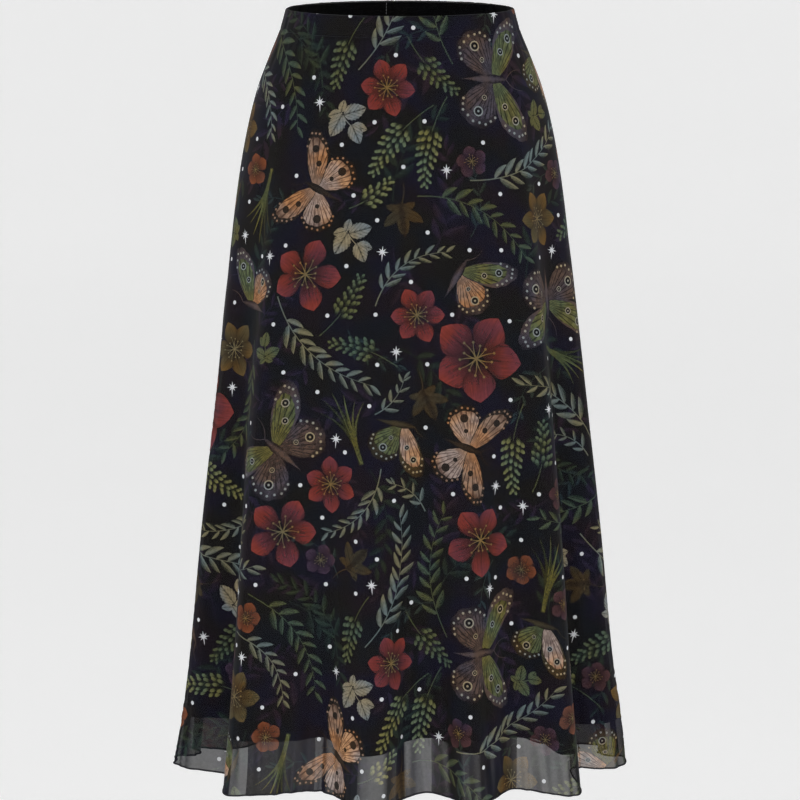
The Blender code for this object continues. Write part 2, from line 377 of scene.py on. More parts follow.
class Ink(Enum):
    """Printing inks, each a main colour and the deeper one that it shades into (linear)."""

    GROUND = ((0.0062, 0.0066, 0.0078), (0.0078, 0.0058, 0.0125))
    RED = ((0.200, 0.040, 0.040), (0.032, 0.012, 0.013))
    ORANGE = ((0.165, 0.058, 0.030), (0.042, 0.017, 0.013))
    MUSTARD = ((0.110, 0.074, 0.026), (0.030, 0.018, 0.008))
    PLUM = ((0.062, 0.032, 0.046), (0.018, 0.009, 0.014))
    BROWN = ((0.060, 0.043, 0.020), (0.018, 0.012, 0.008))
    SAGE = ((0.175, 0.190, 0.150), (0.026, 0.034, 0.028))
    GREEN = ((0.070, 0.088, 0.050), (0.013, 0.020, 0.013))
    DEEP_GREEN = ((0.028, 0.042, 0.028), (0.008, 0.013, 0.010))
    LEAF_YELLOW = ((0.140, 0.145, 0.048), (0.024, 0.027, 0.011))
    SEED_GREEN = ((0.118, 0.132, 0.064), (0.016, 0.021, 0.011))
    SILVER = ((0.298, 0.294, 0.250), (0.034, 0.035, 0.030))
    PEACH = ((0.380, 0.215, 0.125), (0.070, 0.030, 0.016))
    PINK_PEACH = ((0.470, 0.310, 0.215), (0.090, 0.046, 0.032))
    WING_BROWN = ((0.034, 0.022, 0.014), (0.012, 0.008, 0.006))
    OLIVE = ((0.130, 0.135, 0.052), (0.022, 0.024, 0.013))
    WING_PLUM = ((0.085, 0.064, 0.066), (0.014, 0.010, 0.012))
    TEAL = ((0.024, 0.036, 0.035), (0.009, 0.013, 0.014))
    PALE_RING = ((0.340, 0.320, 0.260), (0.150, 0.140, 0.110))
    STAMEN = ((0.210, 0.160, 0.070), (0.090, 0.062, 0.028))
    DARK = ((0.008, 0.007, 0.008), (0.005, 0.004, 0.005))
    NIGHT_PLUM = ((0.021, 0.014, 0.027), (0.008, 0.006, 0.011))
    NIGHT_GREEN = ((0.019, 0.028, 0.022), (0.007, 0.010, 0.009))
    WHITE = ((0.700, 0.715, 0.735), (0.520, 0.535, 0.560))
    # Near-black for the turned-in inside of the waist casing: painted shade, far darker than the ground
    INSIDE = ((0.0016, 0.0016, 0.0018), (0.0012, 0.0012, 0.0016))


# How sharply leaves and petals swell towards their fullest part
SHARPNESS = 0.85
STEM = 0.0014
THIN_STEM = 0.0013


@dataclass(frozen=True)
class Patch:
    """One printed shape: its outline in metres and how its inside is drawn.

    The local place of a point inside it is measured from origin, along axis in lengths and across
    it in half breadths. Of patches that overlap, the one with the highest layer shows.
    """

    outline: Array
    look: Look
    ink: Ink
    length: float
    half_breadth: float
    layer: int = 1
    origin: Array = field(default_factory=lambda: np.zeros(2))
    axis: Array = field(default_factory=lambda: np.array([0.0, 1.0]))

    def shifted(self, shift: Array, lift: int = 0) -> "Patch":
        """The patch moved without turning, and lifted by some layers."""
        moved = {"outline": self.outline + shift, "origin": self.origin + shift}
        return replace(self, layer=self.layer + lift, **moved)

    def moved(self, turn_deg: float, shift: Array, lift: int = 0) -> "Patch":
        """The patch turned about the origin, then moved and lifted by some layers."""
        turn = rotation(turn_deg)
        turned = replace(self, outline=self.outline @ turn.T, origin=turn @ self.origin)
        return replace(turned, axis=turn @ self.axis).shifted(shift, lift)


def rotation(angle_deg: float) -> Array:
    """A 2 by 2 rotation, anticlockwise."""
    angle = math.radians(angle_deg)
    return np.array([[math.cos(angle), -math.sin(angle)], [math.sin(angle), math.cos(angle)]])


def bow(length: float, bend: float, steps: int) -> tuple[Array, Array]:
    """A curved line from the origin along +Y, such as a stem or a leaf's midrib.

    Args:
        length: How long it is.
        bend: How far its middle stands off to +X, as a share of its length.
        steps: How many stretches it has.

    Returns:
        Its points, and the unit vectors that point to its left.
    """
    t = np.linspace(0.0, 1.0, steps + 1)
    line = np.stack([4.0 * bend * length * t * (1 - t), length * t], axis=1)
    forward = unit(np.gradient(line, axis=0))
    return line, np.stack([-forward[:, 1], forward[:, 0]], axis=1)


def swelling(t: Array, power: float, sharpness: float = SHARPNESS) -> Array:
    """How broad a leaf is along its length: nothing at both ends and 1 where it is fullest."""
    share = np.sin(math.pi * t**power) ** sharpness
    share[[0, -1]] = 0.0
    return share


def fullest_at(share: float) -> float:
    """The power that puts a leaf's fullest part at a share of its length."""
    return math.log(0.5) / math.log(share)


def two_sided(left: Array, right: Array, along: Array) -> Array:
    """The outline of a leaf along +Y, from how far its two sides stand off."""
    sides = (np.stack([-left, along], axis=1), np.stack([right, along], axis=1)[-2:0:-1])
    return np.concatenate(sides)


def blade_patch(
    length: float, breadth: float, ink: Ink, look: Look, bend: float = 0.0, fullest: float = 0.45,
    steps: int = 7,
) -> Patch:
    """A pointed leaf or narrow petal that grows from the origin along +Y.

    Args:
        length: Its length.
        breadth: Its breadth where it is fullest.
        ink: Its ink.
        look: How its inside is drawn.
        bend: How far its midrib bows to +X, as a share of its length.
        fullest: Where along it its breadth is greatest, from 0 to 1.
        steps: How many stretches each edge has.

    Returns:
        The patch.
    """
    line, left = bow(length, bend, steps)
    half = 0.5 * breadth * swelling(np.linspace(0.0, 1.0, len(line)), fullest_at(fullest))
    sides = [line + left * half[:, None], (line - left * half[:, None])[-2:0:-1]]
    return Patch(np.concatenate(sides), look, ink, length, breadth / 2)


def stem_patch(line: Array, left: Array, breadth: float, ink: Ink) -> Patch:
    """A thin stem along a line, tapering to a third of its breadth.

    Args:
        line: The points it follows.
        left: Unit vectors to the line's left.
        breadth: Its breadth at the foot.
        ink: Its ink.

    Returns:
        The patch.
    """
    half = 0.5 * breadth * np.linspace(1.0, 0.33, len(line))[:, None]
    outline = np.concatenate([line + left * half, (line - left * half)[::-1]])
    run = line[-1] - line[0]
    length = float(np.linalg.norm(run))
    return Patch(outline, Look.FLAT, ink, length, breadth, 0, line[0], run / length)


def polar_patch(
    radius: Callable[[Array], Array], steps: int, ink: Ink, look: Look, size: float
) -> Patch:
    """A shape round the origin, given by its radius at each angle.

    Args:
        radius: The radius as a function of the angle in radians.
        steps: How many points its outline has.
        ink: Its ink.
        look: How its inside is drawn.
        size: The length that local places are measured in.

    Returns:
        The patch.
    """
    angle = np.linspace(0.0, 2 * math.pi, steps, endpoint=False)
    around = np.stack([np.cos(angle), np.sin(angle)], axis=1)
    return Patch(around * radius(angle)[:, None], look, ink, size, size)


def disc_patch(radius: float, ink: Ink, steps: int = 10) -> Patch:
    """A plain disc round the origin."""
    return polar_patch(lambda angle: np.full_like(angle, radius), steps, ink, Look.FLAT, radius)


@dataclass(frozen=True)
class Blossom:
    """An open flower with overlapping petals and a dark eye with stamens."""

    radius: float
    petals: int
    breadth_share: float
    ink: Ink
    eye_ink: Ink
    fullest: float = 0.66
    eye: float = 0.17
    eye_points: float = 0.03
    stamen: float = 0.30
    stamen_step: float = 0.07
    thread: float = 0.030
    anther: float = 0.032

    def patches(self) -> list[Patch]:
        """Draws the flower.

        Returns:
            Its patches, round the origin.
        """
        centre = np.zeros(2)
        breadth = 2 * math.pi * self.radius / self.petals * self.breadth_share
        drawn = []
        for k in range(self.petals):
            sway = 4.0 * math.sin(2.3 * k + self.radius * 90)
            size = self.radius * (1.0 + 0.06 * math.sin(1.7 * k + 0.8))
            petal = self.petal(size, breadth)
            drawn.append(petal.moved(FULL_TURN_DEG * k / self.petals + sway, centre, k % 2))

        def eye_radius(angle: Array) -> Array:
            """The outline of the dark eye, with five soft points."""
            return self.radius * (self.eye + self.eye_points * np.sin(5 * angle))

        eye = polar_patch(eye_radius, 16, self.eye_ink, Look.BUD, self.radius * 0.2)
        drawn.append(eye.shifted(centre, 5))
        stamens = 2 * self.petals + 3
        for k in range(stamens):
            reach = self.radius * (self.stamen + self.stamen_step * (k % 3))
            turn_deg = FULL_TURN_DEG * k / stamens + 9
            curve = bow(reach, 0.06 * (-1) ** k, 3)
            thread = stem_patch(*curve, self.radius * self.thread, Ink.STAMEN)
            drawn.append(thread.moved(turn_deg, centre, 6))
            tip = disc_patch(self.radius * self.anther, Ink.STAMEN, 6)
            drawn.append(tip.moved(turn_deg, rotation(turn_deg) @ np.array([0.0, reach]), 7))
        return drawn

    def petal(self, size: float, breadth: float) -> Patch:
        """One petal of a size and breadth, along +Y."""
        t = np.linspace(0.0, 1.0, 11)
        half = 0.5 * breadth * swelling(t, fullest_at(self.fullest))
        wobble = 1.0 + 0.05 * np.sin(9.0 * t + size * 300)
        outline = two_sided(half * wobble, half * wobble[::-1], size * t)
        return Patch(outline, Look.PETAL, self.ink, size, breadth / 2)


@dataclass(frozen=True)
class Sprig:
    """A curved stem with leaves up both sides and one at its tip."""

    length: float
    leaf: float
    pairs: int
    ink: Ink
    bend: float = 0.12
    spread_deg: float = 42.0
    plumpness: float = 0.30
    foot: float = 0.20
    edge_steps: int = 7

    def patches(self) -> list[Patch]:
        """Draws the sprig.

        Returns:
            Its patches, growing from below the origin along +Y.
        """
        line, left = bow(self.length, self.bend, 14)
        line = line - np.array([0.0, self.length / 2])
        drawn = [stem_patch(line, left, STEM, self.ink)]
        t = np.linspace(0.0, 1.0, len(line))
        for k, station in enumerate(np.linspace(self.foot, 0.93, self.pairs)):
            for side in (-1, 1):
                at = min(station + 0.02 * side, 0.97)
                heading = read_at(at, t, left)
                lean = math.degrees(math.atan2(heading[1], heading[0])) - 180.0
                size = self.leaf * (1.0 - 0.40 * station) * (1.0 + 0.10 * math.sin(3.1 * k + side))
                shape = (size, size * self.plumpness, self.ink, Look.LEAF, 0.07 * side)
                leaf = blade_patch(*shape, steps=self.edge_steps)
                turn_deg = lean - side * (self.spread_deg + 5.0 * math.sin(2.0 * k))
                drawn.append(leaf.moved(turn_deg, read_at(at, t, line), k % 2))
        tip = blade_patch(self.leaf * 0.62, self.leaf * 0.2, self.ink, Look.LEAF)
        return drawn + [tip.shifted(line[-1] * 0.99)]


@dataclass(frozen=True)
class SeedSpike:
    """A seed head packed with small buds, on a bare curved stem."""

    length: float
    breadth: float
    ink: Ink
    stem: float = 0.045
    row_pitch: float = 0.0040
    bud_length: float = 0.0108
    bud_breadth: float = 0.0056
    splay_deg: float = 46.0

    def patches(self) -> list[Patch]:
        """Draws the spike.

        Returns:
            Its patches, with the head along +Y.
        """
        line, left = bow(self.length * 0.9 + self.stem, 0.07, 10)
        line = line - np.array([0.0, self.stem + self.length * 0.35])
        drawn = [stem_patch(line, left, THIN_STEM, Ink.GREEN)]
        rows = max(5, round(self.length / self.row_pitch))
        for row in range(rows):
            share = row / (rows - 1)
            y = line[-1, 1] - self.length + self.length * share
            x = np.interp(y, line[:, 1], line[:, 0])
            girth = self.breadth * (0.52 + 0.48 * math.sin(math.pi * min(share + 0.25, 1.0)))
            girth *= 1.0 - 0.55 * share**3
            size = 1.0 - 0.30 * share
            bud_size = (size * self.bud_length, size * self.bud_breadth)
            for k in (-1.0, 0.0, 1.0) if row % 2 else (-0.55, 0.55):
                bud = blade_patch(*bud_size, self.ink, Look.SCALE, 0.0, 0.6, 6)
                turn_deg = -self.splay_deg * k + 7.0 * math.sin(5.0 * row + k)
                place = np.array([x + 0.30 * girth * k, y - 0.0016 * abs(k)])
                drawn.append(bud.moved(turn_deg, place, 2 * (rows - row) + (abs(k) < 0.5)))
        return drawn


@dataclass(frozen=True)
class GrassTuft:
    """Long narrow blades that fan out from one point."""

    length: float
    blades: int
    ink: Ink
    slimness: float = 0.050
    fan_deg: float = 46.0
    droop: float = 0.34

    def patches(self) -> list[Patch]:
        """Draws the tuft.

        Returns:
            Its patches, fanning out along +Y.
        """
        drawn = []
        for k in range(self.blades):
            place = (k + 0.5) / self.blades - 0.5
            size = self.length * (1.0 - 0.22 * math.sin(2.6 * k + 1.0) ** 2)
            shape = (size, size * self.slimness, self.ink, Look.LEAF, -self.droop * place)
            blade = blade_patch(*shape, fullest=0.30, steps=9)
            foot = np.array([self.length * 0.06 * place, -self.length * 0.45])
            drawn.append(blade.moved(-self.fan_deg * place, foot, k))
        return drawn


@dataclass(frozen=True)
class LobedLeaf:
    """A broad leaf with pointed lobes, on a short stalk."""

    radius: float
    ink: Ink
    body: float = 0.30
    tooth: float = 0.07
    teeth: int = 34

    # Each lobe's turn from the tip in radians, its reach and its half breadth in radians
    LOBES = (
        (0.0, 1.00, 0.62), (0.98, 0.92, 0.56), (-0.98, 0.90, 0.56), (1.98, 0.60, 0.50),
        (-1.98, 0.62, 0.50),
    )

    def outline_radius(self, angle: Array) -> Array:
        """The outline's radius at each angle: pointed lobes, with a finer set of teeth on them."""
        turned = (angle + math.pi / 2) % (2 * math.pi) - math.pi
        reach = np.full_like(angle, self.body)
        for at, size, breadth in self.LOBES:
            near = np.maximum(0.0, 1.0 - np.abs(turned - at) / breadth) ** 0.85
            reach = np.maximum(reach, self.body + (size - self.body) * near)
        tooth_turn = self.teeth * turned / (2 * math.pi)
        return self.radius * (reach - self.tooth * np.abs(tooth_turn - np.round(tooth_turn)))

    def patches(self) -> list[Patch]:
        """Draws the leaf.

        Returns:
            Its patches, round the origin.
        """
        edge = (self.outline_radius, 4 * self.teeth)
        leaf = polar_patch(*edge, self.ink, Look.BROAD_LEAF, self.radius)
        stalk = stem_patch(*bow(self.radius * 0.9, 0.08, 4), THIN_STEM, self.ink)
        return [leaf, stalk.moved(168, np.array([0.0, -self.radius * 0.2]))]


@dataclass(frozen=True)
class LeafCluster:
    """Broad toothed leaves round a short stalk."""

    leaf: float
    ink: Ink
    plumpness: float = 0.36
    tooth: float = 0.13

    # Angle from the stalk, size as a share of the leaf, and where on the stalk it springs from
    LAYOUT = (
        (-72.0, 1.00, 0.10), (64.0, 0.95, 0.16), (-18.0, 0.86, 0.60), (30.0, 0.62, 0.66),
        (-118.0, 0.55, 0.02), (122.0, 0.50, 0.02),
    )

    def patches(self) -> list[Patch]:
        """Draws the cluster.

        Returns:
            Its patches, round the origin.
        """
        line, left = bow(self.leaf * 1.1, 0.06, 6)
        line = line - np.array([0.0, self.leaf * 0.45])
        drawn = [stem_patch(line, left, STEM, self.ink)]
        for k, (angle, share, spring) in enumerate(self.LAYOUT):
            foot = line[0] + (line[-1] - line[0]) * spring
            drawn.append(self.toothed(self.leaf * share).moved(angle, foot, k % 3))
        return drawn

    def toothed(self, size: float) -> Patch:
        """One broad leaf of a length, with a toothed edge, along +Y."""
        t = np.linspace(0.0, 1.0, 15)
        half = self.plumpness * size * swelling(t, 0.8, 0.8)
        half *= 1.0 - self.tooth * (np.arange(len(t)) % 2)
        outline = two_sided(half, half, size * t)
        return Patch(outline, Look.BROAD_LEAF, self.ink, size, self.plumpness * size)


def closed_curve(corners: Sequence[tuple[float, float]], steps: int) -> Array:
    """A smooth closed outline through a few corners (Catmull-Rom).

    Args:
        corners: The corners, in order.
        steps: How many stretches lie between two corners.

    Returns:
        The outline's points.
    """
    p = np.array(corners, float)
    t = np.linspace(0.0, 1.0, steps, endpoint=False)[:, None]
    points = []
    for k in range(len(p)):
        a, b, c, d = (p[(k + i) % len(p)] for i in (-1, 0, 1, 2))
        bent = (2 * a - 5 * b + 4 * c - d) * t**2
        points.append(0.5 * (2 * b + (c - a) * t + bent + (3 * b - a - 3 * c + d) * t**3))
    return np.concatenate(points)


@dataclass(frozen=True)
class Butterfly:
    """A plain butterfly with rounded wings, open or half shown, dark margins and pale spots."""

    span: float
    wing_ink: Ink
    hind_ink: Ink
    margin_ink: Ink
    ringed: bool
    open_wings: bool = True
    scallop: float = 0.05
    mark: float = 0.0125

    # Outlines of the right-hand wings, in half spans, with the head towards +Y
    FOREWING = (
        (0.03, 0.10), (0.30, 0.40), (0.66, 0.62), (0.94, 0.66), (1.00, 0.50), (0.90, 0.28),
        (0.74, 0.12), (0.45, 0.02), (0.10, -0.02),
    )
    HINDWING = (
        (0.05, 0.00), (0.36, 0.02), (0.68, 0.00), (0.80, -0.20), (0.74, -0.44), (0.54, -0.62),
        (0.34, -0.60), (0.16, -0.40), (0.05, -0.16),
    )
    # Spots on a wing: across and along in half spans, and their size
    SPOTS = ((0.66, 0.40, 0.075), (0.44, 0.20, 0.060), (0.52, -0.30, 0.085), (0.30, -0.18, 0.045))
    # How far out a wing's inside and its margin's marks reach: of a plain one and of a ringed one
    REACH = ((0.86, 0.94), (0.80, 0.91))
    # The discs of a spot, the first alone or all in rings: their sizes and how many points each has
    DISCS = ((1.0, 12), (0.74, 10), (0.26, 6))

    def patches(self) -> list[Patch]:
        """Draws the butterfly.

        Returns:
            Its patches, round the origin.
        """
        half = self.span / 2
        inner_reach, _ = self.REACH[self.ringed]
        drawn: list[Patch] = []
        for side in (-1.0, 1.0) if self.open_wings else (1.0,):
            flip = np.array([side, 1.0]) * half
            for corners, ink, layer in (
                (self.HINDWING, self.hind_ink, 1), (self.FOREWING, self.wing_ink, 3)
            ):
                outline = self.scalloped(closed_curve(corners, 4) * flip)
                foot = outline[0] * 0.6
                far = outline.mean(axis=0) - foot
                length = float(np.max(np.linalg.norm(outline - foot, axis=1)))
                local = (length, length * 0.5, layer, foot, far / np.linalg.norm(far))
                margin = Patch(outline, Look.BUD, self.margin_ink, *local)
                inner = foot + (outline - foot) * inner_reach
                drawn += [margin, *self.margin_marks(outline, foot, layer + 2)]
                drawn.append(replace(margin, outline=inner, look=Look.WING, ink=ink, layer=layer + 1))
            drawn += self.spots(flip)
            feeler = stem_patch(*bow(self.span * 0.19, 0.14 * side, 5), 0.0010, self.margin_ink)
            drawn.append(feeler.moved(-26.0 * side, np.array([0.0, self.span * 0.13]), 2))
        body = blade_patch(half * 0.86, half * 0.15, self.margin_ink, Look.BUD, 0.0, 0.66)
        return drawn + [body.shifted(np.array([0.0, -half * 0.58]), 9)]

    def scalloped(self, outline: Array) -> Array:
        """Pulls in every other stretch of a wing's outer edge."""
        middle = outline.mean(axis=0)
        far = np.linalg.norm(outline, axis=1, keepdims=True)
        every_other = (np.arange(len(outline)) % 4 == 2)[:, None]
        pull = self.scallop * every_other * (far > 0.6 * far.max())
        return outline - (outline - middle) * pull

    def margin_marks(self, outline: Array, foot: Array, layer: int) -> list[Patch]:
        """A row of pale marks in a wing's dark margin.

        Args:
            outline: The wing's outline.
            foot: Where the wing is joined to the body.
            layer: The layer that the marks are lifted by.

        Returns:
            The marks.
        """
        far = np.linalg.norm(outline - foot, axis=1)
        edge = outline[(far > 0.72 * far.max()) & (np.arange(len(outline)) % 2 == 0)]
        ink = Ink.PALE_RING if self.ringed else self.wing_ink
        mark = disc_patch(self.mark * self.span, ink, 5)
        _, reach = self.REACH[self.ringed]
        return [mark.shifted(foot + (at - foot) * reach, layer) for at in edge]

    def spots(self, flip: Array) -> list[Patch]:
        """The pale or ringed spots of one side, where flip turns half spans into metres."""
        inks = (Ink.PALE_RING, Ink.DARK, Ink.PALE_RING) if self.ringed else (self.margin_ink,)
        return [
            disc_patch(size * self.span / 2 * share, ink, steps).shifted((across, along) * flip, 5 + k)
            for across, along, size in self.SPOTS
            for k, (ink, (share, steps)) in enumerate(zip(inks, self.DISCS))
        ]


@dataclass(frozen=True)
class Dot:
    """A round white dot."""

    radius: float = 0.0024

    def patches(self) -> list[Patch]:
        """Draws the dot."""
        return [disc_patch(self.radius, Ink.WHITE)]


@dataclass(frozen=True)
class Star:
    """A white star with eight points, one of them longer."""

    radius: float = 0.0070
    waist_share: float = 0.30
    slant_share: float = 0.78
    long_share: float = 1.55

    def patches(self) -> list[Patch]:
        """Draws the star.

        Returns:
            Its one patch.
        """
        shares = (1.0, self.waist_share, self.slant_share, self.waist_share) * 4
        reach = self.radius * np.array(shares)
        reach[12] = self.radius * self.long_share
        angle = math.pi * np.arange(16) / 8
        outline = np.stack([reach * np.cos(angle), reach * np.sin(angle)], axis=1)
        return [Patch(outline, Look.FLAT, Ink.WHITE, self.radius, self.radius)]


# What one repeat of the print holds, in tiers that are laid one after another, the largest first;
# within a tier the motifs are dealt in turn, so that no two of a kind come together
TIERS = (
    (
        (Blossom(0.051, 5, 0.62, Ink.RED, Ink.DARK, 0.60), 2),
        (Butterfly(0.136, Ink.OLIVE, Ink.WING_PLUM, Ink.WING_PLUM, True), 3),
        (Sprig(0.150, 0.027, 9, Ink.SAGE, 0.13, 36.0, 0.28), 5),
        (Butterfly(0.114, Ink.PEACH, Ink.PINK_PEACH, Ink.WING_BROWN, False), 3),
        (Blossom(0.040, 5, 0.54, Ink.RED, Ink.DARK, 0.62), 3),
        (Sprig(0.140, 0.025, 8, Ink.GREEN, -0.14, 40.0, 0.32), 5),
        (Butterfly(0.110, Ink.PINK_PEACH, Ink.OLIVE, Ink.BROWN, True, False), 3),
        (GrassTuft(0.088, 6, Ink.LEAF_YELLOW), 4),
        (Butterfly(0.120, Ink.OLIVE, Ink.PEACH, Ink.WING_PLUM, True, False), 3),
    ),
    (
        (Blossom(0.032, 6, 0.58, Ink.MUSTARD, Ink.BROWN, 0.60), 3),
        (SeedSpike(0.060, 0.022, Ink.SEED_GREEN), 9),
        (LeafCluster(0.028, Ink.SILVER), 9),
        (Sprig(0.110, 0.023, 7, Ink.DEEP_GREEN, 0.16), 6),
        (Blossom(0.031, 6, 0.60, Ink.RED, Ink.BROWN, 0.64), 3),
        (LobedLeaf(0.030, Ink.BROWN), 7),
        (Sprig(0.100, 0.021, 7, Ink.SAGE, -0.17, 34.0, 0.28), 6),
        (SeedSpike(0.048, 0.020, Ink.GREEN, 0.034), 8),
    ),
    (
        (Star(), 20),
        (Sprig(0.080, 0.020, 6, Ink.LEAF_YELLOW, -0.14), 7),
        (Blossom(0.018, 5, 0.70, Ink.ORANGE, Ink.DARK, 0.64), 5),
        (Sprig(0.074, 0.019, 5, Ink.GREEN, 0.15), 9),
        (Blossom(0.018, 5, 0.66, Ink.PLUM, Ink.DARK, 0.64), 9),
        (LeafCluster(0.020, Ink.SEED_GREEN), 8),
        (SeedSpike(0.036, 0.017, Ink.SEED_GREEN, 0.020), 6),
    ),
    (
        (Sprig(0.052, 0.017, 4, Ink.SAGE, 0.12), 10),
        (Dot(), 84),
    ),
)

# Dim foliage that lies under the rest, on a layout of its own
UNDERGROWTH = (
    (
        (Sprig(0.120, 0.030, 6, Ink.NIGHT_PLUM, 0.12, 44.0, 0.36, edge_steps=5), 12),
        (Sprig(0.110, 0.026, 6, Ink.NIGHT_GREEN, -0.14, 42.0, 0.34, edge_steps=5), 14),
        (Sprig(0.080, 0.022, 5, Ink.NIGHT_PLUM, -0.12, 42.0, 0.34, edge_steps=5), 14),
        (Sprig(0.070, 0.020, 4, Ink.TEAL, 0.14, 40.0, 0.30, edge_steps=5), 12),
    ),
)


@dataclass
class PrintLayout:
    """One repeat of the print, laid out by trying seeded places until nothing overlaps.

    Of the free places found, a motif takes the one that is snug against what lies there already
    and far from others of its kind.
    """

    width: float = 0.60
    height: float = 0.64
    cell: float = 0.0028
    tries: int = 260
    rounds: int = 9
    snug_cells: int = 3
    spread: float = 2.2
    far: float = 0.22
    under_lift: int = -20
    star_sway_deg: float = 8.0
    seed: int = 24

    def __post_init__(self) -> None:
        """Places the motifs, tier by tier."""
        self.columns, self.rows = round(self.width / self.cell), round(self.height / self.cell)
        self.size = np.array([self.columns, self.rows]) * self.cell
        self.placed: list[list[Patch]] = []
        rng = np.random.default_rng(self.seed)
        for tiers, lift in ((UNDERGROWTH, self.under_lift), (TIERS, 0)):
            self.taken = np.zeros((self.columns, self.rows), bool)
            self.close = self.taken.copy()
            for tier in tiers:
                self.lay(tier, lift, rng)

    def lay(self, tier: Sequence[tuple], lift: int, rng: np.random.Generator) -> None:
        """Deals out one tier's motifs in turn.

        Args:
            tier: Motifs and how many of each.
            lift: How many layers they rise.
            rng: The seeded source of places and turns.
        """
        before = len(self.placed)
        drawn = []
        for motif, count in tier:
            shapes = [patch.shifted(np.zeros(2), lift) for patch in motif.patches()]
            sway_deg = self.star_sway_deg if isinstance(motif, Star) else FULL_TURN_DEG / 2
            drawn.append((count, shapes, self.footprint(shapes), [], sway_deg))
        for turn in range(max(count for count, *_ in drawn)):
            for count, *motif in drawn:
                if turn < count:
                    self.place(*motif, rng)
        wanted = sum(count for count, *_ in drawn)
        log.info("print: %d of %d motifs placed", len(self.placed) - before, wanted)

    def footprint(self, shapes: list[Patch]) -> Array:
        """Finds points spread through a motif, closer together than a cell.

        Args:
            shapes: The motif's patches.

        Returns:
            The points.
        """
        step = 0.9 * self.cell
        found = []
        for patch in shapes:
            low, high = patch.outline.min(axis=0), patch.outline.max(axis=0)
            x, y = (np.arange(low[i], high[i] + step, step) for i in (0, 1))
            grid = np.stack(np.meshgrid(x, y), axis=-1).reshape(-1, 2)
            found += [patch.outline, grid[lies_inside(patch.outline, grid)]]
        return np.unique(np.round(np.concatenate(found) / step).astype(int), axis=0) * step

    def cells_of(self, points: Array) -> tuple[Array, Array]:
        """The cells that points lie in, on a repeat that wraps round."""
        index = np.floor(points / self.cell).astype(int)
        return index[..., 0] % self.columns, index[..., 1] % self.rows

    def place(
        self, shapes: list[Patch], footprint: Array, places: list[Array],
        sway_deg: float, rng: np.random.Generator,
    ) -> None:
        """Puts a motif in the best of the free places that are found, or leaves it out.

        Args:
            shapes: The motif's patches.
            footprint: Points spread through it.
            places: Where others of its kind lie; the new place is added.
            sway_deg: How far it may turn to each side.
            rng: The seeded source of places and turns.
        """
        for _ in range(self.rounds):
            shifts = rng.random((self.tries, 2)) * self.size
            turns = rng.uniform(-sway_deg, sway_deg, self.tries)
            cos, sin = np.cos(np.radians(turns)), np.sin(np.radians(turns))
            across = np.outer(cos, footprint[:, 0]) - np.outer(sin, footprint[:, 1])
            up = np.outer(sin, footprint[:, 0]) + np.outer(cos, footprint[:, 1])
            i, j = self.cells_of(np.stack([across, up], axis=-1) + shifts[:, None, :])
            free = np.flatnonzero(~self.taken[i, j].any(axis=1))
            if len(free):
                break
        else:
            return
        score = self.close[i[free], j[free]].mean(axis=1)
        if places:
            away = np.abs(shifts[free][:, None, :] - np.array(places)[None])
            nearest = np.hypot(*np.moveaxis(np.minimum(away, self.size - away), -1, 0)).min(axis=1)
            score = score + self.spread * np.minimum(nearest, self.far)
        best = free[int(np.argmax(score))]
        places.append(shifts[best])
        self.placed.append([patch.moved(float(turns[best]), shifts[best]) for patch in shapes])
        self.mark(self.taken, i[best], j[best], 1)
        self.mark(self.close, i[best], j[best], 1 + self.snug_cells)

    def mark(self, grid: Array, i: Array, j: Array, reach: int) -> None:
        """Marks a grid's cells, by column and row, and those within a reach of them."""
        for di in range(-reach, reach + 1):
            for dj in range(-reach, reach + 1):
                grid[(i + di) % self.columns, (j + dj) % self.rows] = True

    def stamped(self, low: Array, high: Array, offset: Array) -> list[Patch]:
        """Repeats the layout over a flat piece of cloth.

        Args:
            low: The cloth's lowest corner.
            high: Its highest corner.
            offset: Where on the cloth a repeat begins.

        Returns:
            Every patch that may touch the cloth.
        """
        first = np.floor((low - offset) / self.size).astype(int) - 1
        last = np.ceil((high - offset) / self.size).astype(int) + 1
        found = []
        for i in range(first[0], last[0] + 1):
            for j in range(first[1], last[1] + 1):
                shift = offset + self.size * (i, j)
                for patch in (patch for motif in self.placed for patch in motif):
                    edge = patch.outline + shift
                    if (edge.max(axis=0) > low).all() and (edge.min(axis=0) < high).all():
                        found.append(patch.shifted(shift))
        return found


def lies_inside(outline: Array, points: Array) -> Array:
    """Tells which points lie inside an outline (even-odd rule).

    Args:
        outline: The outline.
        points: The points.

    Returns:
        True for each point inside.
    """
    start, end = outline, np.roll(outline, -1, axis=0)
    x, y = points[:, :1], points[:, 1:]
    spans = (start[:, 1] > y) != (end[:, 1] > y)
    rise = np.where(spans, end[:, 1] - start[:, 1], 1.0)
    crossing = start[:, 0] + (end[:, 0] - start[:, 0]) * (y - start[:, 1]) / rise
    return (spans & (x < crossing)).sum(axis=1) % 2 == 1


def owners_of(points: Array, patches: list[Patch]) -> Array:
    """Finds the topmost patch over each point.

    Args:
        points: The points.
        patches: The patches.

    Returns:
        The patch of each point, counted from 1, or 0 where none lies.
    """
    order = np.argsort(points[:, 0])
    across = points[order, 0]
    owners = np.zeros(len(points), int)
    for k in sorted(range(len(patches)), key=lambda number: patches[number].layer):
        outline = patches[k].outline
        low, high = outline.min(axis=0), outline.max(axis=0)
        first, last = np.searchsorted(across, (low[0], high[0]))
        near = order[first:last]
        near = near[(points[near, 1] > low[1]) & (points[near, 1] < high[1])]
        owners[near[lies_inside(outline, points[near])]] = k + 1
    return owners


# ---- Cutting and wrapping cloth ----


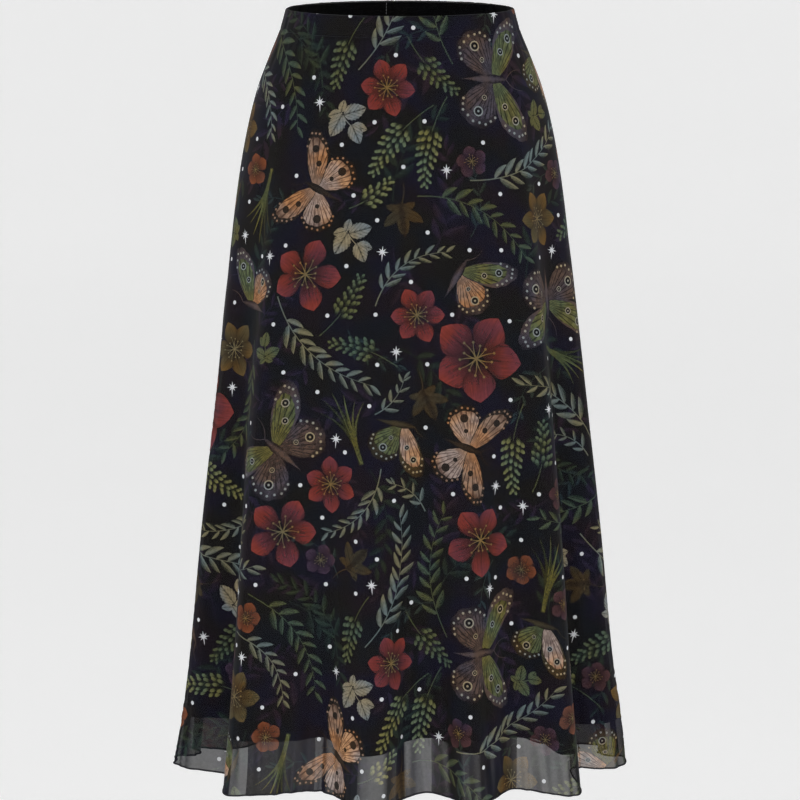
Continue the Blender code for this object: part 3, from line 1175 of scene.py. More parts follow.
@dataclass
class CasingPath:
    """How cloth runs over the waist elastic: down the inside, over the top and down the outside.

    A run is measured along the cloth from the top of the fold, positive outside.
    """

    fold_radius: float = 0.0015
    stitch_drop: float = 0.0236
    stitch_depth: float = 0.0006
    stitch_half_breadth: float = 0.0014

    def inset_and_drop(self, run: Array) -> tuple[Array, Array]:
        """The place of the cloth in the skirt's wall.

        Args:
            run: Distances along the cloth.

        Returns:
            Insets from the outer face and drops below the waist.
        """
        radius = self.fold_radius
        quarter = 0.5 * math.pi * radius
        turned = np.clip(run, -quarter, quarter) / radius
        inset = radius * (1.0 - np.sin(turned))
        drop = radius * (1.0 - np.cos(turned)) + np.maximum(np.abs(run) - quarter, 0.0)
        near = (drop - self.stitch_drop) / self.stitch_half_breadth
        return inset + np.where(run > 0, self.stitch_depth, 0.0) * np.exp(-near * near), drop

    def run_at(self, drop: float) -> float:
        """The run of cloth on the outside down to a drop."""
        return drop + (0.5 * math.pi - 1.0) * self.fold_radius


@dataclass
class PanelCut:
    """The flat cut of a front or back panel, a sector of a ring, and how it wraps round the skirt.

    Flat places are in metres, X across and Y up, with Y 0 at the waist on the panel's middle line.
    """

    middle_deg: float
    place: Callable[[Array, Array], Array]
    first_run: float
    last_run: float
    apex: float = 0.75
    levels: int = 150
    columns: int = 720
    shares: int = 480
    row_pitch: float = 0.87
    free_edge: float = 0.3

    def __post_init__(self) -> None:
        """Measures the cloth along every level, from the middle line to each side seam."""
        self.runs = np.linspace(self.first_run, self.last_run, self.levels)
        trial = np.linspace(-SIDE_SEAM_DEG, SIDE_SEAM_DEG, self.columns + 1) + self.middle_deg
        angle, run = np.meshgrid(trial, self.runs)
        points = self.place(angle.ravel(), run.ravel()).reshape(*angle.shape, 3)
        steps = np.linalg.norm(np.diff(points, axis=1), axis=2)
        along = np.concatenate([np.zeros((self.levels, 1)), np.cumsum(steps, axis=1)], axis=1)
        along -= along[:, [self.columns // 2]]
        self.left, self.right = along[:, 0], along[:, -1]
        share = np.linspace(0.0, 1.0, self.shares + 1)
        levels = zip(self.left, self.right, along)
        rows = [np.interp(low + (high - low) * share, row, trial) for low, high, row in levels]
        self.angles = np.stack(rows)

    def sides(self, run: Array) -> tuple[Array, Array]:
        """How far the side seams lie from the middle line, left (below 0) and right."""
        return np.interp(run, self.runs, self.left), np.interp(run, self.runs, self.right)

    def flat(self, along: Array, run: Array) -> Array:
        """Flat places, from distances along the level from the middle line and runs from the waist."""
        radius = self.apex + run
        turned = along / radius
        return np.stack([radius * np.sin(turned), self.apex - radius * np.cos(turned)], axis=-1)

    def measured(self, flat: Array) -> tuple[Array, Array]:
        """How far flat places lie along their level, and their runs from the waist."""
        across, up = flat[:, 0], self.apex - flat[:, 1]
        radius = np.hypot(across, up)
        return np.arctan2(across, up) * radius, radius - self.apex

    def holds(self, flat: Array) -> Array:
        """Tells which flat places lie inside the cut."""
        along, run = self.measured(flat)
        left, right = self.sides(run)
        level = (run > self.first_run) & (run < self.last_run)
        return level & (along > left) & (along < right)

    def worn(self, flat: Array) -> tuple[Array, Array]:
        """Where flat places come to lie on the skirt.

        Args:
            flat: Flat places.

        Returns:
            Angles from centre front and runs from the waist.
        """
        along, run = self.measured(flat)
        run = np.clip(run, self.first_run, self.last_run)
        left, right = self.sides(run)
        share = np.clip((along - left) / (right - left), 0.0, 1.0) * self.shares
        level = (run - self.first_run) / (self.last_run - self.first_run) * (self.levels - 1)
        i = np.minimum(level.astype(int), self.levels - 2)
        k = np.minimum(share.astype(int), self.shares - 1)
        u, v = level - i, share - k
        above, below = (
            self.angles[row, k] * (1 - v) + self.angles[row, k + 1] * v for row in (i, i + 1)
        )
        return above * (1 - u) + below * u, run

    def boundary(self, step: float) -> Array:
        """The cut's edge, anticlockwise.

        Args:
            step: How far apart its points are.

        Returns:
            Flat places along it.
        """

        def level_edge(level: int, start: float, end: float) -> Array:
            """The edge along a level, from one share of its breadth to another."""
            breadth = self.right[level] - self.left[level]
            share = np.linspace(start, end, round(breadth / step) + 1)
            run = np.full_like(share, self.runs[level])
            return self.flat(self.left[level] + breadth * share, run)

        height = self.last_run - self.first_run
        up = np.linspace(self.last_run, self.first_run, round(height / step) + 1)
        left, right = self.sides(up)
        hem, waist = level_edge(-1, 0.0, 1.0), level_edge(0, 1.0, 0.0)
        edges = (hem, self.flat(right, up), waist, self.flat(left[::-1], up[::-1]))
        return np.concatenate([edge[:-1] for edge in edges])

    def fill(self, spacing: tuple[Sequence[float], Sequence[float]]) -> Array:
        """Places spread over the inside of the cut, in staggered rows.

        Args:
            spacing: Some runs, and how far apart the places are there.

        Returns:
            The flat places.
        """
        rows, run, shifted = [], self.first_run, False
        while run < self.last_run:
            gap = float(np.interp(run, *spacing))
            run += self.row_pitch * gap
            if run > self.last_run - self.free_edge * gap:
                break
            left, right = (float(side) for side in self.sides(np.array(run)))
            count = max(2, round((right - left) / gap))
            shares = (np.arange(count) + (0.25 if shifted else 0.75)) / count
            shifted = not shifted
            rows.append(self.flat(left + (right - left) * shares, np.full(count, run)))
        return np.concatenate(rows)

    def area(self) -> float:
        """The flat area of the cut, in square metres."""
        return float(np.trapz(self.right - self.left, self.runs))


def make_object(name: str, points: Array, faces: list[list[int]]) -> Object:
    """Makes a smooth-shaded mesh object.

    Args:
        name: Its name and its mesh's.
        points: Its vertices.
        faces: The vertices of each face.

    Returns:
        The object, at the origin.
    """
    mesh = bpy.data.meshes.new(name)
    mesh.from_pydata(points.tolist(), [], faces)
    mesh.shade_smooth()
    obj = bpy.data.objects.new(name, mesh)
    bpy.context.scene.collection.objects.link(obj)
    return obj


def apply_modifiers(obj: Object) -> None:
    """Applies a piece's modifiers, in order."""
    bpy.ops.object.select_all(action="DESELECT")
    bpy.context.view_layer.objects.active = obj
    obj.select_set(True)
    for modifier in list(obj.modifiers):
        bpy.ops.object.modifier_apply(modifier=modifier.name)
    obj.select_set(False)


def thicken(obj: Object, thickness: float, offset: float) -> None:
    """Gives a sheet a wall, all inside it for an offset of -1, or half on each side for 0."""
    wall = obj.modifiers.new("thickness", "SOLIDIFY")
    wall.thickness = thickness
    wall.offset = offset
    apply_modifiers(obj)


def fix_normals(mesh: Mesh) -> None:
    """Turns a closed mesh's faces to point outwards, and shades them smooth."""
    bm = bmesh.new()
    bm.from_mesh(mesh)
    bmesh.ops.recalc_face_normals(bm, faces=bm.faces)
    bm.to_mesh(mesh)
    bm.free()
    mesh.shade_smooth()


def add_corner_values(mesh: Mesh, name: str, kind: str, values: Array) -> None:
    """Stores values on a mesh's face corners for its material.

    Args:
        mesh: The mesh.
        name: The attribute's name.
        kind: FLOAT_VECTOR or FLOAT_COLOR.
        values: One row for each corner.
    """
    attribute = mesh.attributes.new(name, kind, "CORNER")
    field_name = "color" if kind == "FLOAT_COLOR" else "vector"
    attribute.data.foreach_set(field_name, values.astype(np.float32).ravel())


def add_uv(mesh: Mesh, name: str, flat: Array) -> None:
    """Adds a UV map from a flat place for each face corner."""
    layer = mesh.uv_layers.new(name=name)
    layer.data.foreach_set("uv", flat.astype(np.float32).ravel())


def ride_and_dress(obj: Object, material: Material, slot: str, *nodes: str) -> Object:
    """Gives a finished piece its material, parents it to the body and hides the nodes that it stands
    for.

    Args:
        obj: The piece.
        material: Its material.
        slot: The record's material slot; not used.
        nodes: The CAD nodes that it replaces.

    Returns:
        The piece.
    """
    obj.data.materials.clear()
    obj.data.materials.append(material)
    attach(obj, BODY)
    if nodes:
        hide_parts(*nodes)
    log.info("%s: %d faces", obj.name, len(obj.data.polygons))
    return obj


# ---- Materials ----


class Signal:
    """What a shader node puts out; a sum that is done with it adds a Math node."""

    def __init__(self, wiring: "Wiring", socket: NodeSocket) -> None:
        """Keeps the wiring and the socket."""
        self.wiring, self.socket = wiring, socket

    def __add__(self, other: object) -> "Signal":
        """Adds."""
        return self.wiring.math("ADD", self, other)

    def __sub__(self, other: object) -> "Signal":
        """Takes away."""
        return self.wiring.math("SUBTRACT", self, other)

    def __rsub__(self, other: object) -> "Signal":
        """Is taken away from a number."""
        return self.wiring.math("SUBTRACT", other, self)

    def __mul__(self, other: object) -> "Signal":
        """Multiplies."""
        return self.wiring.math("MULTIPLY", self, other)

    def __truediv__(self, other: object) -> "Signal":
        """Divides."""
        return self.wiring.math("DIVIDE", self, other)

    def __pow__(self, other: object) -> "Signal":
        """Raises to a power."""
        return self.wiring.math("POWER", self, other)

    def __abs__(self) -> "Signal":
        """Drops the sign."""
        return self.wiring.math("ABSOLUTE", self)

    def times_plus(self, factor: object, addend: object) -> "Signal":
        """Multiplies, then adds."""
        return self.wiring.math("MULTIPLY_ADD", self, factor, addend)

    def at_least(self, other: object) -> "Signal":
        """The larger of the two."""
        return self.wiring.math("MAXIMUM", self, other)

    def off_half(self) -> "Signal":
        """How far its part after the point is from one half."""
        return abs(self.wiring.math("FRACT", self) - 0.5)

    def ramp(self, low: float, high: float) -> "Signal":
        """A smooth step from 0 at low to 1 at high."""
        node = self.wiring.node("ShaderNodeMapRange", interpolation_type="SMOOTHSTEP")
        self.wiring.feed(node, Value=self, From_Min=low, From_Max=high)
        return Signal(self.wiring, node.outputs["Result"])

    def clamped(self) -> "Signal":
        """Holds the result of the last sum between 0 and 1."""
        self.socket.node.use_clamp = True
        return self


class Wiring:
    """Short ways to add shader nodes to one node tree."""

    def __init__(self, tree: NodeTree) -> None:
        """Keeps the tree."""
        self.tree = tree

    def node(self, kind: str, **settings: object) -> Node:
        """Adds a node and sets its properties."""
        node = self.tree.nodes.new(kind)
        for name, value in settings.items():
            setattr(node, name, value)
        return node

    def join(self, source: object, target: NodeSocket) -> None:
        """Links a signal or socket to an input, or sets the input to a number or colour."""
        if isinstance(source, Signal):
            source = source.socket
        if isinstance(source, NodeSocket):
            self.tree.links.new(source, target)
        else:
            target.default_value = source

    def feed(self, node: Node, **values: object) -> None:
        """Feeds a node's inputs, named with _ for a space."""
        for name, value in values.items():
            self.join(value, node.inputs[name.replace("_", " ")])

    def outputs(self, node: Node) -> dict[str, Signal]:
        """What a node puts out, by name."""
        return {output.name: Signal(self, output) for output in node.outputs}

    def math(self, operation: str, *values: object) -> Signal:
        """Adds a Math node.

        Args:
            operation: What it does.
            values: Its inputs, signals or numbers.

        Returns:
            Its result.
        """
        node = self.node("ShaderNodeMath", operation=operation)
        for value, target in zip(values, node.inputs):
            self.join(value, target)
        return Signal(self, node.outputs[0])

    def parts(self, kind: str, source: object) -> dict[str, Signal]:
        """Takes a vector or a colour apart, with a node of a kind."""
        node = self.node(kind)
        self.join(source, node.inputs[0])
        return self.outputs(node)

    def mix(self, share: object, a: object, b: object) -> Signal:
        """Mixes two colours.

        Args:
            share: How much of the second, from 0 to 1.
            a: The first colour.
            b: The second colour.

        Returns:
            The mixed colour.
        """
        node = self.node("ShaderNodeMix", data_type="RGBA")
        for value, target in ((share, 0), (a, 6), (b, 7)):
            self.join(value, node.inputs[target])
        return Signal(self, node.outputs[2])

    def scaled(self, colour: object, factor: object) -> Signal:
        """A colour made lighter or darker by a factor."""
        node = self.node("ShaderNodeVectorMath", operation="SCALE")
        self.join(colour, node.inputs[0])
        self.join(factor, node.inputs["Scale"])
        return Signal(self, node.outputs[0])

    def noise(self, place: object, scale: float, detail: float) -> Signal:
        """Noise of a scale and detail, read at a place."""
        node = self.node("ShaderNodeTexNoise", noise_dimensions="3D")
        self.feed(node, Vector=place, Scale=scale, Detail=detail)
        return Signal(self, node.outputs["Fac"])

    def group(self, tree: NodeTree, **values: object) -> dict[str, Signal]:
        """Places a node group, feeds its inputs, named with _ for a space, and gives its outputs."""
        node = self.node("ShaderNodeGroup", node_tree=tree)
        self.feed(node, **values)
        return self.outputs(node)

    def attribute(self, name: str, output: str) -> Signal:
        """Reads an attribute of the piece."""
        return self.outputs(self.node("ShaderNodeAttribute", attribute_name=name))[output]

    def on_flat_cloth(self) -> Signal:
        """The place on the flat cloth, in metres."""
        return self.outputs(self.node("ShaderNodeUVMap", uv_map="flat"))["UV"]

    def on_piece(self) -> Signal:
        """The place in the piece's own space, in metres."""
        return self.outputs(self.node("ShaderNodeTexCoord"))["Object"]


def new_group(
    name: str, inputs: Sequence[tuple[str, str]], outputs: Sequence[tuple[str, str]]
) -> tuple[Wiring, dict[str, Signal], Node]:
    """Starts a shader node group.

    Args:
        name: Its name.
        inputs: The name and kind of each input.
        outputs: The name and kind of each output.

    Returns:
        The wiring of its tree, what it is given and its output node.
    """
    tree = bpy.data.node_groups.new(name, "ShaderNodeTree")
    for way, sockets in (("INPUT", inputs), ("OUTPUT", outputs)):
        for socket_name, kind in sockets:
            tree.interface.new_socket(socket_name, in_out=way, socket_type=f"NodeSocket{kind}")
    w = Wiring(tree)
    return w, w.outputs(w.node("NodeGroupInput")), w.node("NodeGroupOutput")


def weave_group() -> NodeTree:
    """Plain weave: threads that pass over and under each other, uneven like spun yarn.

    Returns:
        The group, with Place in metres and Pitch, the distance between threads; it gives Height
        and Cover, how much of each spot the threads cover.
    """
    inputs = (("Place", "Vector"), ("Pitch", "Float"))
    outputs = (("Height", "Float"), ("Cover", "Float"))
    w, given, made = new_group("plain weave", inputs, outputs)
    place = w.parts("ShaderNodeSeparateXYZ", given["Place"])
    over, under = (w.math("SINE", place[axis] / given["Pitch"] * math.pi) for axis in "XY")
    crossing = over * under
    slub = w.noise(given["Place"], 900.0, 2.0)
    w.feed(made, Height=crossing.times_plus(0.5, slub * 0.9), Cover=1.0 - abs(crossing))
    return w.tree


def tone_group() -> NodeTree:
    """Slow changes of tone in dyed cloth, with a fine grain on top.

    Returns:
        The group, with Place in metres; it gives Broad and Fine, each from 0 to 1.
    """
    outputs = (("Broad", "Float"), ("Fine", "Float"))
    w, given, made = new_group("dye tone", (("Place", "Vector"),), outputs)
    broad = w.noise(given["Place"], 9.0, 3.0).ramp(0.36, 0.64)
    w.feed(made, Broad=broad, Fine=w.noise(given["Place"], 260.0, 1.0))
    return w.tree


def print_group() -> NodeTree:
    """Draws the inside of each printed shape: veins, petal streaks, wing veins and shading.

    Returns:
        The group, with Ink, Shade, Motif (along, across and look) and Place in metres; it gives
        Colour and White, 1 where opaque white ink lies.
    """
    inputs = (("Ink", "Color"), ("Shade", "Color"), ("Motif", "Vector"), ("Place", "Vector"))
    w, given, made = new_group("printed motifs", inputs, (("Colour", "Color"), ("White", "Float")))
    along, across, look = w.parts("ShaderNodeSeparateXYZ", given["Motif"]).values()
    ink, shade, place = (given[name] for name in ("Ink", "Shade", "Place"))
    aside = abs(across)

    def stretched(along_scale: float, across_scale: float) -> Signal:
        """A place in the motif's own directions, offset slowly over the cloth so that motifs differ."""
        node = w.node("ShaderNodeCombineXYZ")
        w.feed(node, X=along * along_scale, Y=across * across_scale, Z=w.noise(place, 7.0, 0.0))
        return w.outputs(node)["Vector"]

    brush = w.noise(place, 330.0, 4.0)

    # Leaves: a light midrib, slanting side veins, one half deeper than the other
    rib = 1.0 - aside.ramp(0.03, 0.16)
    vein = 1.0 - along.times_plus(6.0, aside * -1.6).off_half().ramp(0.05, 0.2)
    half = across.ramp(-0.18, 0.18)
    leaf_tone = half.times_plus(0.40, brush.times_plus(0.9, -0.22))
    leaf_tone = leaf_tone + aside.ramp(0.66, 1.0) * 0.40 + rib * -0.42 + vein * -0.22
    leaf = w.mix(leaf_tone.clamped(), ink, shade)

    # Petals: streaks that run out from a deep throat to a lighter rim
    streak = w.noise(stretched(1.6, 9.0), 1.6, 3.0)
    rim = aside.ramp(0.62, 0.98)
    lit = (along.ramp(0.16, 0.78) * streak.times_plus(1.3, 0.05)).clamped()
    lit = (lit - (1.0 - aside.ramp(0.0, 0.10)) * 0.22).clamped()
    lit = (lit - rim * 0.25).clamped()
    petal = w.mix(lit, shade, w.scaled(ink, along.ramp(0.70, 1.02).times_plus(0.38, 1.0)))

    # Wings: dark veins that fan out from the body, mottled cells and a scalloped margin
    cell = (across / along.at_least(0.15) * 3.2).off_half()
    mottle = w.noise(stretched(4.0, 4.0), 2.2, 4.0).ramp(0.34, 0.66)
    bands = abs(w.math("SINE", along.times_plus(11.0, mottle * 1.6)))
    margin = (along + cell * 0.10).ramp(0.72, 0.86)
    wing_tone = mottle.times_plus(0.55, 0.35) * bands.times_plus(0.5, 0.5)
    wing_tone = wing_tone * (1.0 - cell.ramp(0.30, 0.44) * 0.9) * (1.0 - margin * 0.6)
    wing = w.mix((wing_tone * 1.6).clamped(), shade, ink)

    # Buds, eyes and bodies: lit in the middle, deep at the edge
    bud_depth = aside * 0.55 + abs(along - 0.5) * 0.9 + brush.times_plus(0.5, -0.25)
    bud = w.mix(bud_depth.ramp(0.10, 0.72), ink, shade)

    # Scales of a seed head: light at the tip, dark at the foot and round the edge
    scale_tone = along.ramp(0.18, 0.80) * (1.0 - aside.ramp(0.45, 0.98))
    scale_tone = (scale_tone * brush.times_plus(1.2, 0.40)).clamped()
    scale = w.mix(scale_tone, shade, w.scaled(ink, 1.35))

    # Broad leaves: pale, with a net of darker veins
    net = along.times_plus(4.5, aside * -2.4).off_half().ramp(0.36, 0.48)
    broad_tone = brush.times_plus(0.9, -0.18) + net * 0.45 + rib * 0.5 + rim * 0.35
    broad = w.mix(broad_tone.clamped(), ink, shade)

    # Flat white marks, a little uneven, and the ground, which drifts from ink to shade
    white = w.mix(brush * 0.6, ink, shade)
    colour = w.mix(w.noise(place, 11.0, 3.0).ramp(0.42, 0.60), ink, shade)
    for kind, drawn in (
        (Look.LEAF, leaf), (Look.PETAL, petal), (Look.WING, wing), (Look.BUD, bud),
        (Look.BROAD_LEAF, broad), (Look.SCALE, scale), (Look.FLAT, white),
    ):
        colour = w.mix(w.math("COMPARE", look, float(kind.value), 0.4), colour, drawn)

    # All but the white drifts between a warm and a cool cast
    is_white = w.parts("ShaderNodeSeparateColor", ink)["Blue"].ramp(0.3, 0.5)
    drift = w.noise(place, 24.0, 2.0).ramp(0.36, 0.64)
    tinted = w.node("ShaderNodeVectorMath", operation="MULTIPLY")
    w.join(colour, tinted.inputs[0])
    w.join(w.mix(drift, (1.20, 1.0, 0.72, 1.0), (0.82, 0.98, 1.24, 1.0)), tinted.inputs[1])
    w.feed(made, Colour=w.mix(is_white, tinted.outputs[0], colour), White=is_white)
    return w.tree


@dataclass
class Groups:
    """The node groups that the materials share."""

    def __post_init__(self) -> None:
        """Builds each group once."""
        self.weave = weave_group()
        self.tone = tone_group()
        self.motifs = print_group()


def new_material(name: str) -> tuple[Material, Wiring, Node]:
    """Starts a material.

    Args:
        name: Its name.

    Returns:
        The material, the wiring of its tree and its Principled shader.
    """
    material = bpy.data.materials.new(name)
    material.use_nodes = True
    return material, Wiring(material.node_tree), material.node_tree.nodes["Principled BSDF"]


def add_weave(
    w: Wiring, shader: Node, weave: dict[str, Signal], bump: tuple[float, float],
    roughness: tuple[float, float],
) -> None:
    """Lets the weave show in a shader's surface.

    Args:
        w: The material's wiring.
        shader: The shader.
        weave: The weave's height and cover.
        bump: The bump's strength and distance.
        roughness: The mean roughness, and how far it swings with the weave.
    """
    strength, distance = bump
    node = w.node("ShaderNodeBump")
    w.feed(node, Strength=strength, Distance=distance, Height=weave["Height"])
    mean, swing = roughness
    w.feed(shader, Normal=node.outputs[0], Roughness=weave["Cover"].times_plus(swing, mean - swing / 2))


@dataclass(frozen=True)
class ChiffonFinish:
    """Sheer, matt, crepe-like chiffon with a printed face."""

    name: str = "printed chiffon"
    covered: float = 0.825
    covered_white: float = 0.92
    cover_swing: float = 0.05
    closing: float = 1.5
    thread_pitch: float = 0.0016
    roughness: tuple[float, float] = (0.78, 0.10)
    specular: float = 0.10
    sheen: float = 0.025
    sheen_roughness: float = 0.5
    bump: tuple[float, float] = (0.10, 0.0004)
    steepest: float = 0.22
    behind: float = 0.60
    grain: tuple[float, float] = (0.34, 0.83)

    def material(self, groups: Groups) -> Material:
        """Builds the material.

        Args:
            groups: The shared node groups.

        Returns:
            The material.
        """
        made, w, shader = new_material(self.name)
        flat = w.on_flat_cloth()
        weave = w.group(groups.weave, Place=flat, Pitch=self.thread_pitch)
        fine = w.group(groups.tone, Place=w.on_piece())["Fine"]
        ink, shade = w.attribute("ink", "Color"), w.attribute("shade", "Color")
        motif = w.attribute("motif", "Vector")
        motifs = w.group(groups.motifs, Ink=ink, Shade=shade, Motif=motif, Place=flat)
        thin = fine.times_plus(self.cover_swing, self.covered - self.cover_swing / 2)
        cover = motifs["White"].times_plus(self.covered_white - self.covered, thin)
        facing = w.node("ShaderNodeLayerWeight")
        facing.inputs["Blend"].default_value = 0.5
        square_on = (1.0 - w.outputs(facing)["Facing"]).at_least(self.steepest)
        passed = w.outputs(w.node("ShaderNodeLightPath"))["Transparent Depth"]
        behind = w.math("GREATER_THAN", passed, 0.5)
        slant = square_on.at_least(behind) ** -self.closing * w.attribute("layers", "Fac")
        slant = slant * behind.times_plus(self.behind - 1.0, 1.0)
        w.feed(
            shader,
            Base_Color=w.scaled(motifs["Colour"], fine.times_plus(*self.grain)),
            Alpha=(1.0 - (1.0 - cover) ** slant).clamped(),
            Specular_IOR_Level=self.specular,
            Sheen_Weight=self.sheen,
            Sheen_Roughness=self.sheen_roughness,
        )
        add_weave(w, shader, weave, self.bump, self.roughness)
        return made


@dataclass(frozen=True)
class PlainClothFinish:
    """Opaque woven cloth of one dye: the lining, the elastic and the seam edges."""

    name: str
    colour: tuple[float, float, float]
    deep: tuple[float, float, float]
    thread_pitch: float = 0.0012
    bump: tuple[float, float] = (0.12, 0.0003)
    roughness: tuple[float, float] = (0.72, 0.16)
    specular: float = 0.2
    grain: tuple[float, float] = (0.5, 0.75)

    def material(self, groups: Groups) -> Material:
        """Builds the material.

        Args:
            groups: The shared node groups.

        Returns:
            The material.
        """
        made, w, shader = new_material(self.name)
        weave = w.group(groups.weave, Place=w.on_flat_cloth(), Pitch=self.thread_pitch)
        tone = w.group(groups.tone, Place=w.on_piece())
        colour = w.mix(tone["Broad"], (*self.colour, 1.0), (*self.deep, 1.0))
        colour = w.scaled(colour, tone["Fine"].times_plus(*self.grain))
        w.feed(shader, Base_Color=colour, Specular_IOR_Level=self.specular)
        add_weave(w, shader, weave, self.bump, self.roughness)
        return made


@dataclass(frozen=True)
class ThreadFinish:
    """Spun sewing thread, with its twist."""

    name: str = "dark thread"
    colour: tuple[float, float, float] = (0.011, 0.011, 0.015)
    light: tuple[float, float, float] = (0.030, 0.030, 0.038)
    roughness: tuple[float, float] = (0.6, 0.2)
    specular: float = 0.25
    twist_scale: float = 2600.0
    twist_edges: tuple[float, float] = (0.35, 0.65)

    def material(self, groups: Groups) -> Material:
        """Builds the material.

        Args:
            groups: The shared node groups.

        Returns:
            The material.
        """
        made, w, shader = new_material(self.name)
        place = w.on_piece()
        fine = w.group(groups.tone, Place=place)["Fine"]
        share = w.noise(place, self.twist_scale, 1.0).ramp(*self.twist_edges) * fine
        colour = w.mix(share, (*self.colour, 1.0), (*self.light, 1.0))
        mean, swing = self.roughness
        rough = fine.times_plus(swing, mean - swing / 2)
        w.feed(shader, Base_Color=colour, Roughness=rough, Specular_IOR_Level=self.specular)
        return made


@dataclass
class Finishes:
    """Every material of the skirt."""

    def __post_init__(self) -> None:
        """Builds them."""
        lining = ("lining cloth", (0.0062, 0.0060, 0.0100), (0.0046, 0.0046, 0.0078))
        elastic = ("waist elastic", (0.0070, 0.0070, 0.0100), (0.0050, 0.0050, 0.0070), 0.0014)
        seam = ("seam edge", (0.0090, 0.0090, 0.0130), (0.0070, 0.0070, 0.0100), 0.0012)
        pale_thread = ("pale thread", (0.150, 0.150, 0.155), (0.300, 0.300, 0.310))
        groups = Groups()
        self.chiffon = ChiffonFinish().material(groups)
        self.lining = PlainClothFinish(*lining).material(groups)
        self.elastic = PlainClothFinish(*elastic, bump=(0.5, 0.0003)).material(groups)
        self.seam = PlainClothFinish(*seam, bump=(0.5, 0.0003)).material(groups)
        self.thread = ThreadFinish().material(groups)
        self.pale_thread = ThreadFinish(*pale_thread).material(groups)


# ---- The pieces ----


@dataclass
class Panel:
    """A panel of cloth that hangs on the front or the back half of the worn form."""

    form: SkirtForm
    side: str
    middle_deg: float

    # How far apart points are that show which way the cloth faces, on a form of about this radius
    NUDGE = 0.0004
    MEAN_RADIUS = 0.2

    def place(self, angle_deg: Array, run: Array) -> Array:
        """The worn place of points of the cloth."""
        raise NotImplementedError

    def normals(self, angle_deg: Array, run: Array) -> Array:
        """Outward normals of the cloth.

        Args:
            angle_deg: Angles from centre front.
            run: Runs from the waist.

        Returns:
            One unit normal a row.
        """
        turn = math.degrees(self.NUDGE / self.MEAN_RADIUS)
        around = self.place(angle_deg + turn, run) - self.place(angle_deg - turn, run)
        down = self.place(angle_deg, run + self.NUDGE) - self.place(angle_deg, run - self.NUDGE)
        return unit(np.cross(down, around))

    def wrap(self, name: str, angle_deg: Array, run: Array, faces: Array) -> Object:
        """Makes the cloth, with smooth normals from its surface.

        Args:
            name: Its name.
            angle_deg: The vertices' angles from centre front.
            run: Their runs from the waist.
            faces: Three or four vertices a row.

        Returns:
            The object.
        """
        obj = make_object(name, self.place(angle_deg, run), faces.tolist())
        normals = self.normals(angle_deg, run).tolist()
        obj.data.normals_split_custom_set_from_vertices(normals)
        return obj

    def angles(self, count: int) -> Array:
        """Angles from one side seam to the other."""
        return np.linspace(-SIDE_SEAM_DEG, SIDE_SEAM_DEG, count) + self.middle_deg

    def level_line(self, run: float, count: int) -> tuple[Array, Array]:
        """Angles from one side seam to the other, and how far along the cloth's level each lies."""
        angle = self.angles(count)
        return angle, run_along(self.place(angle, np.full_like(angle, run)))


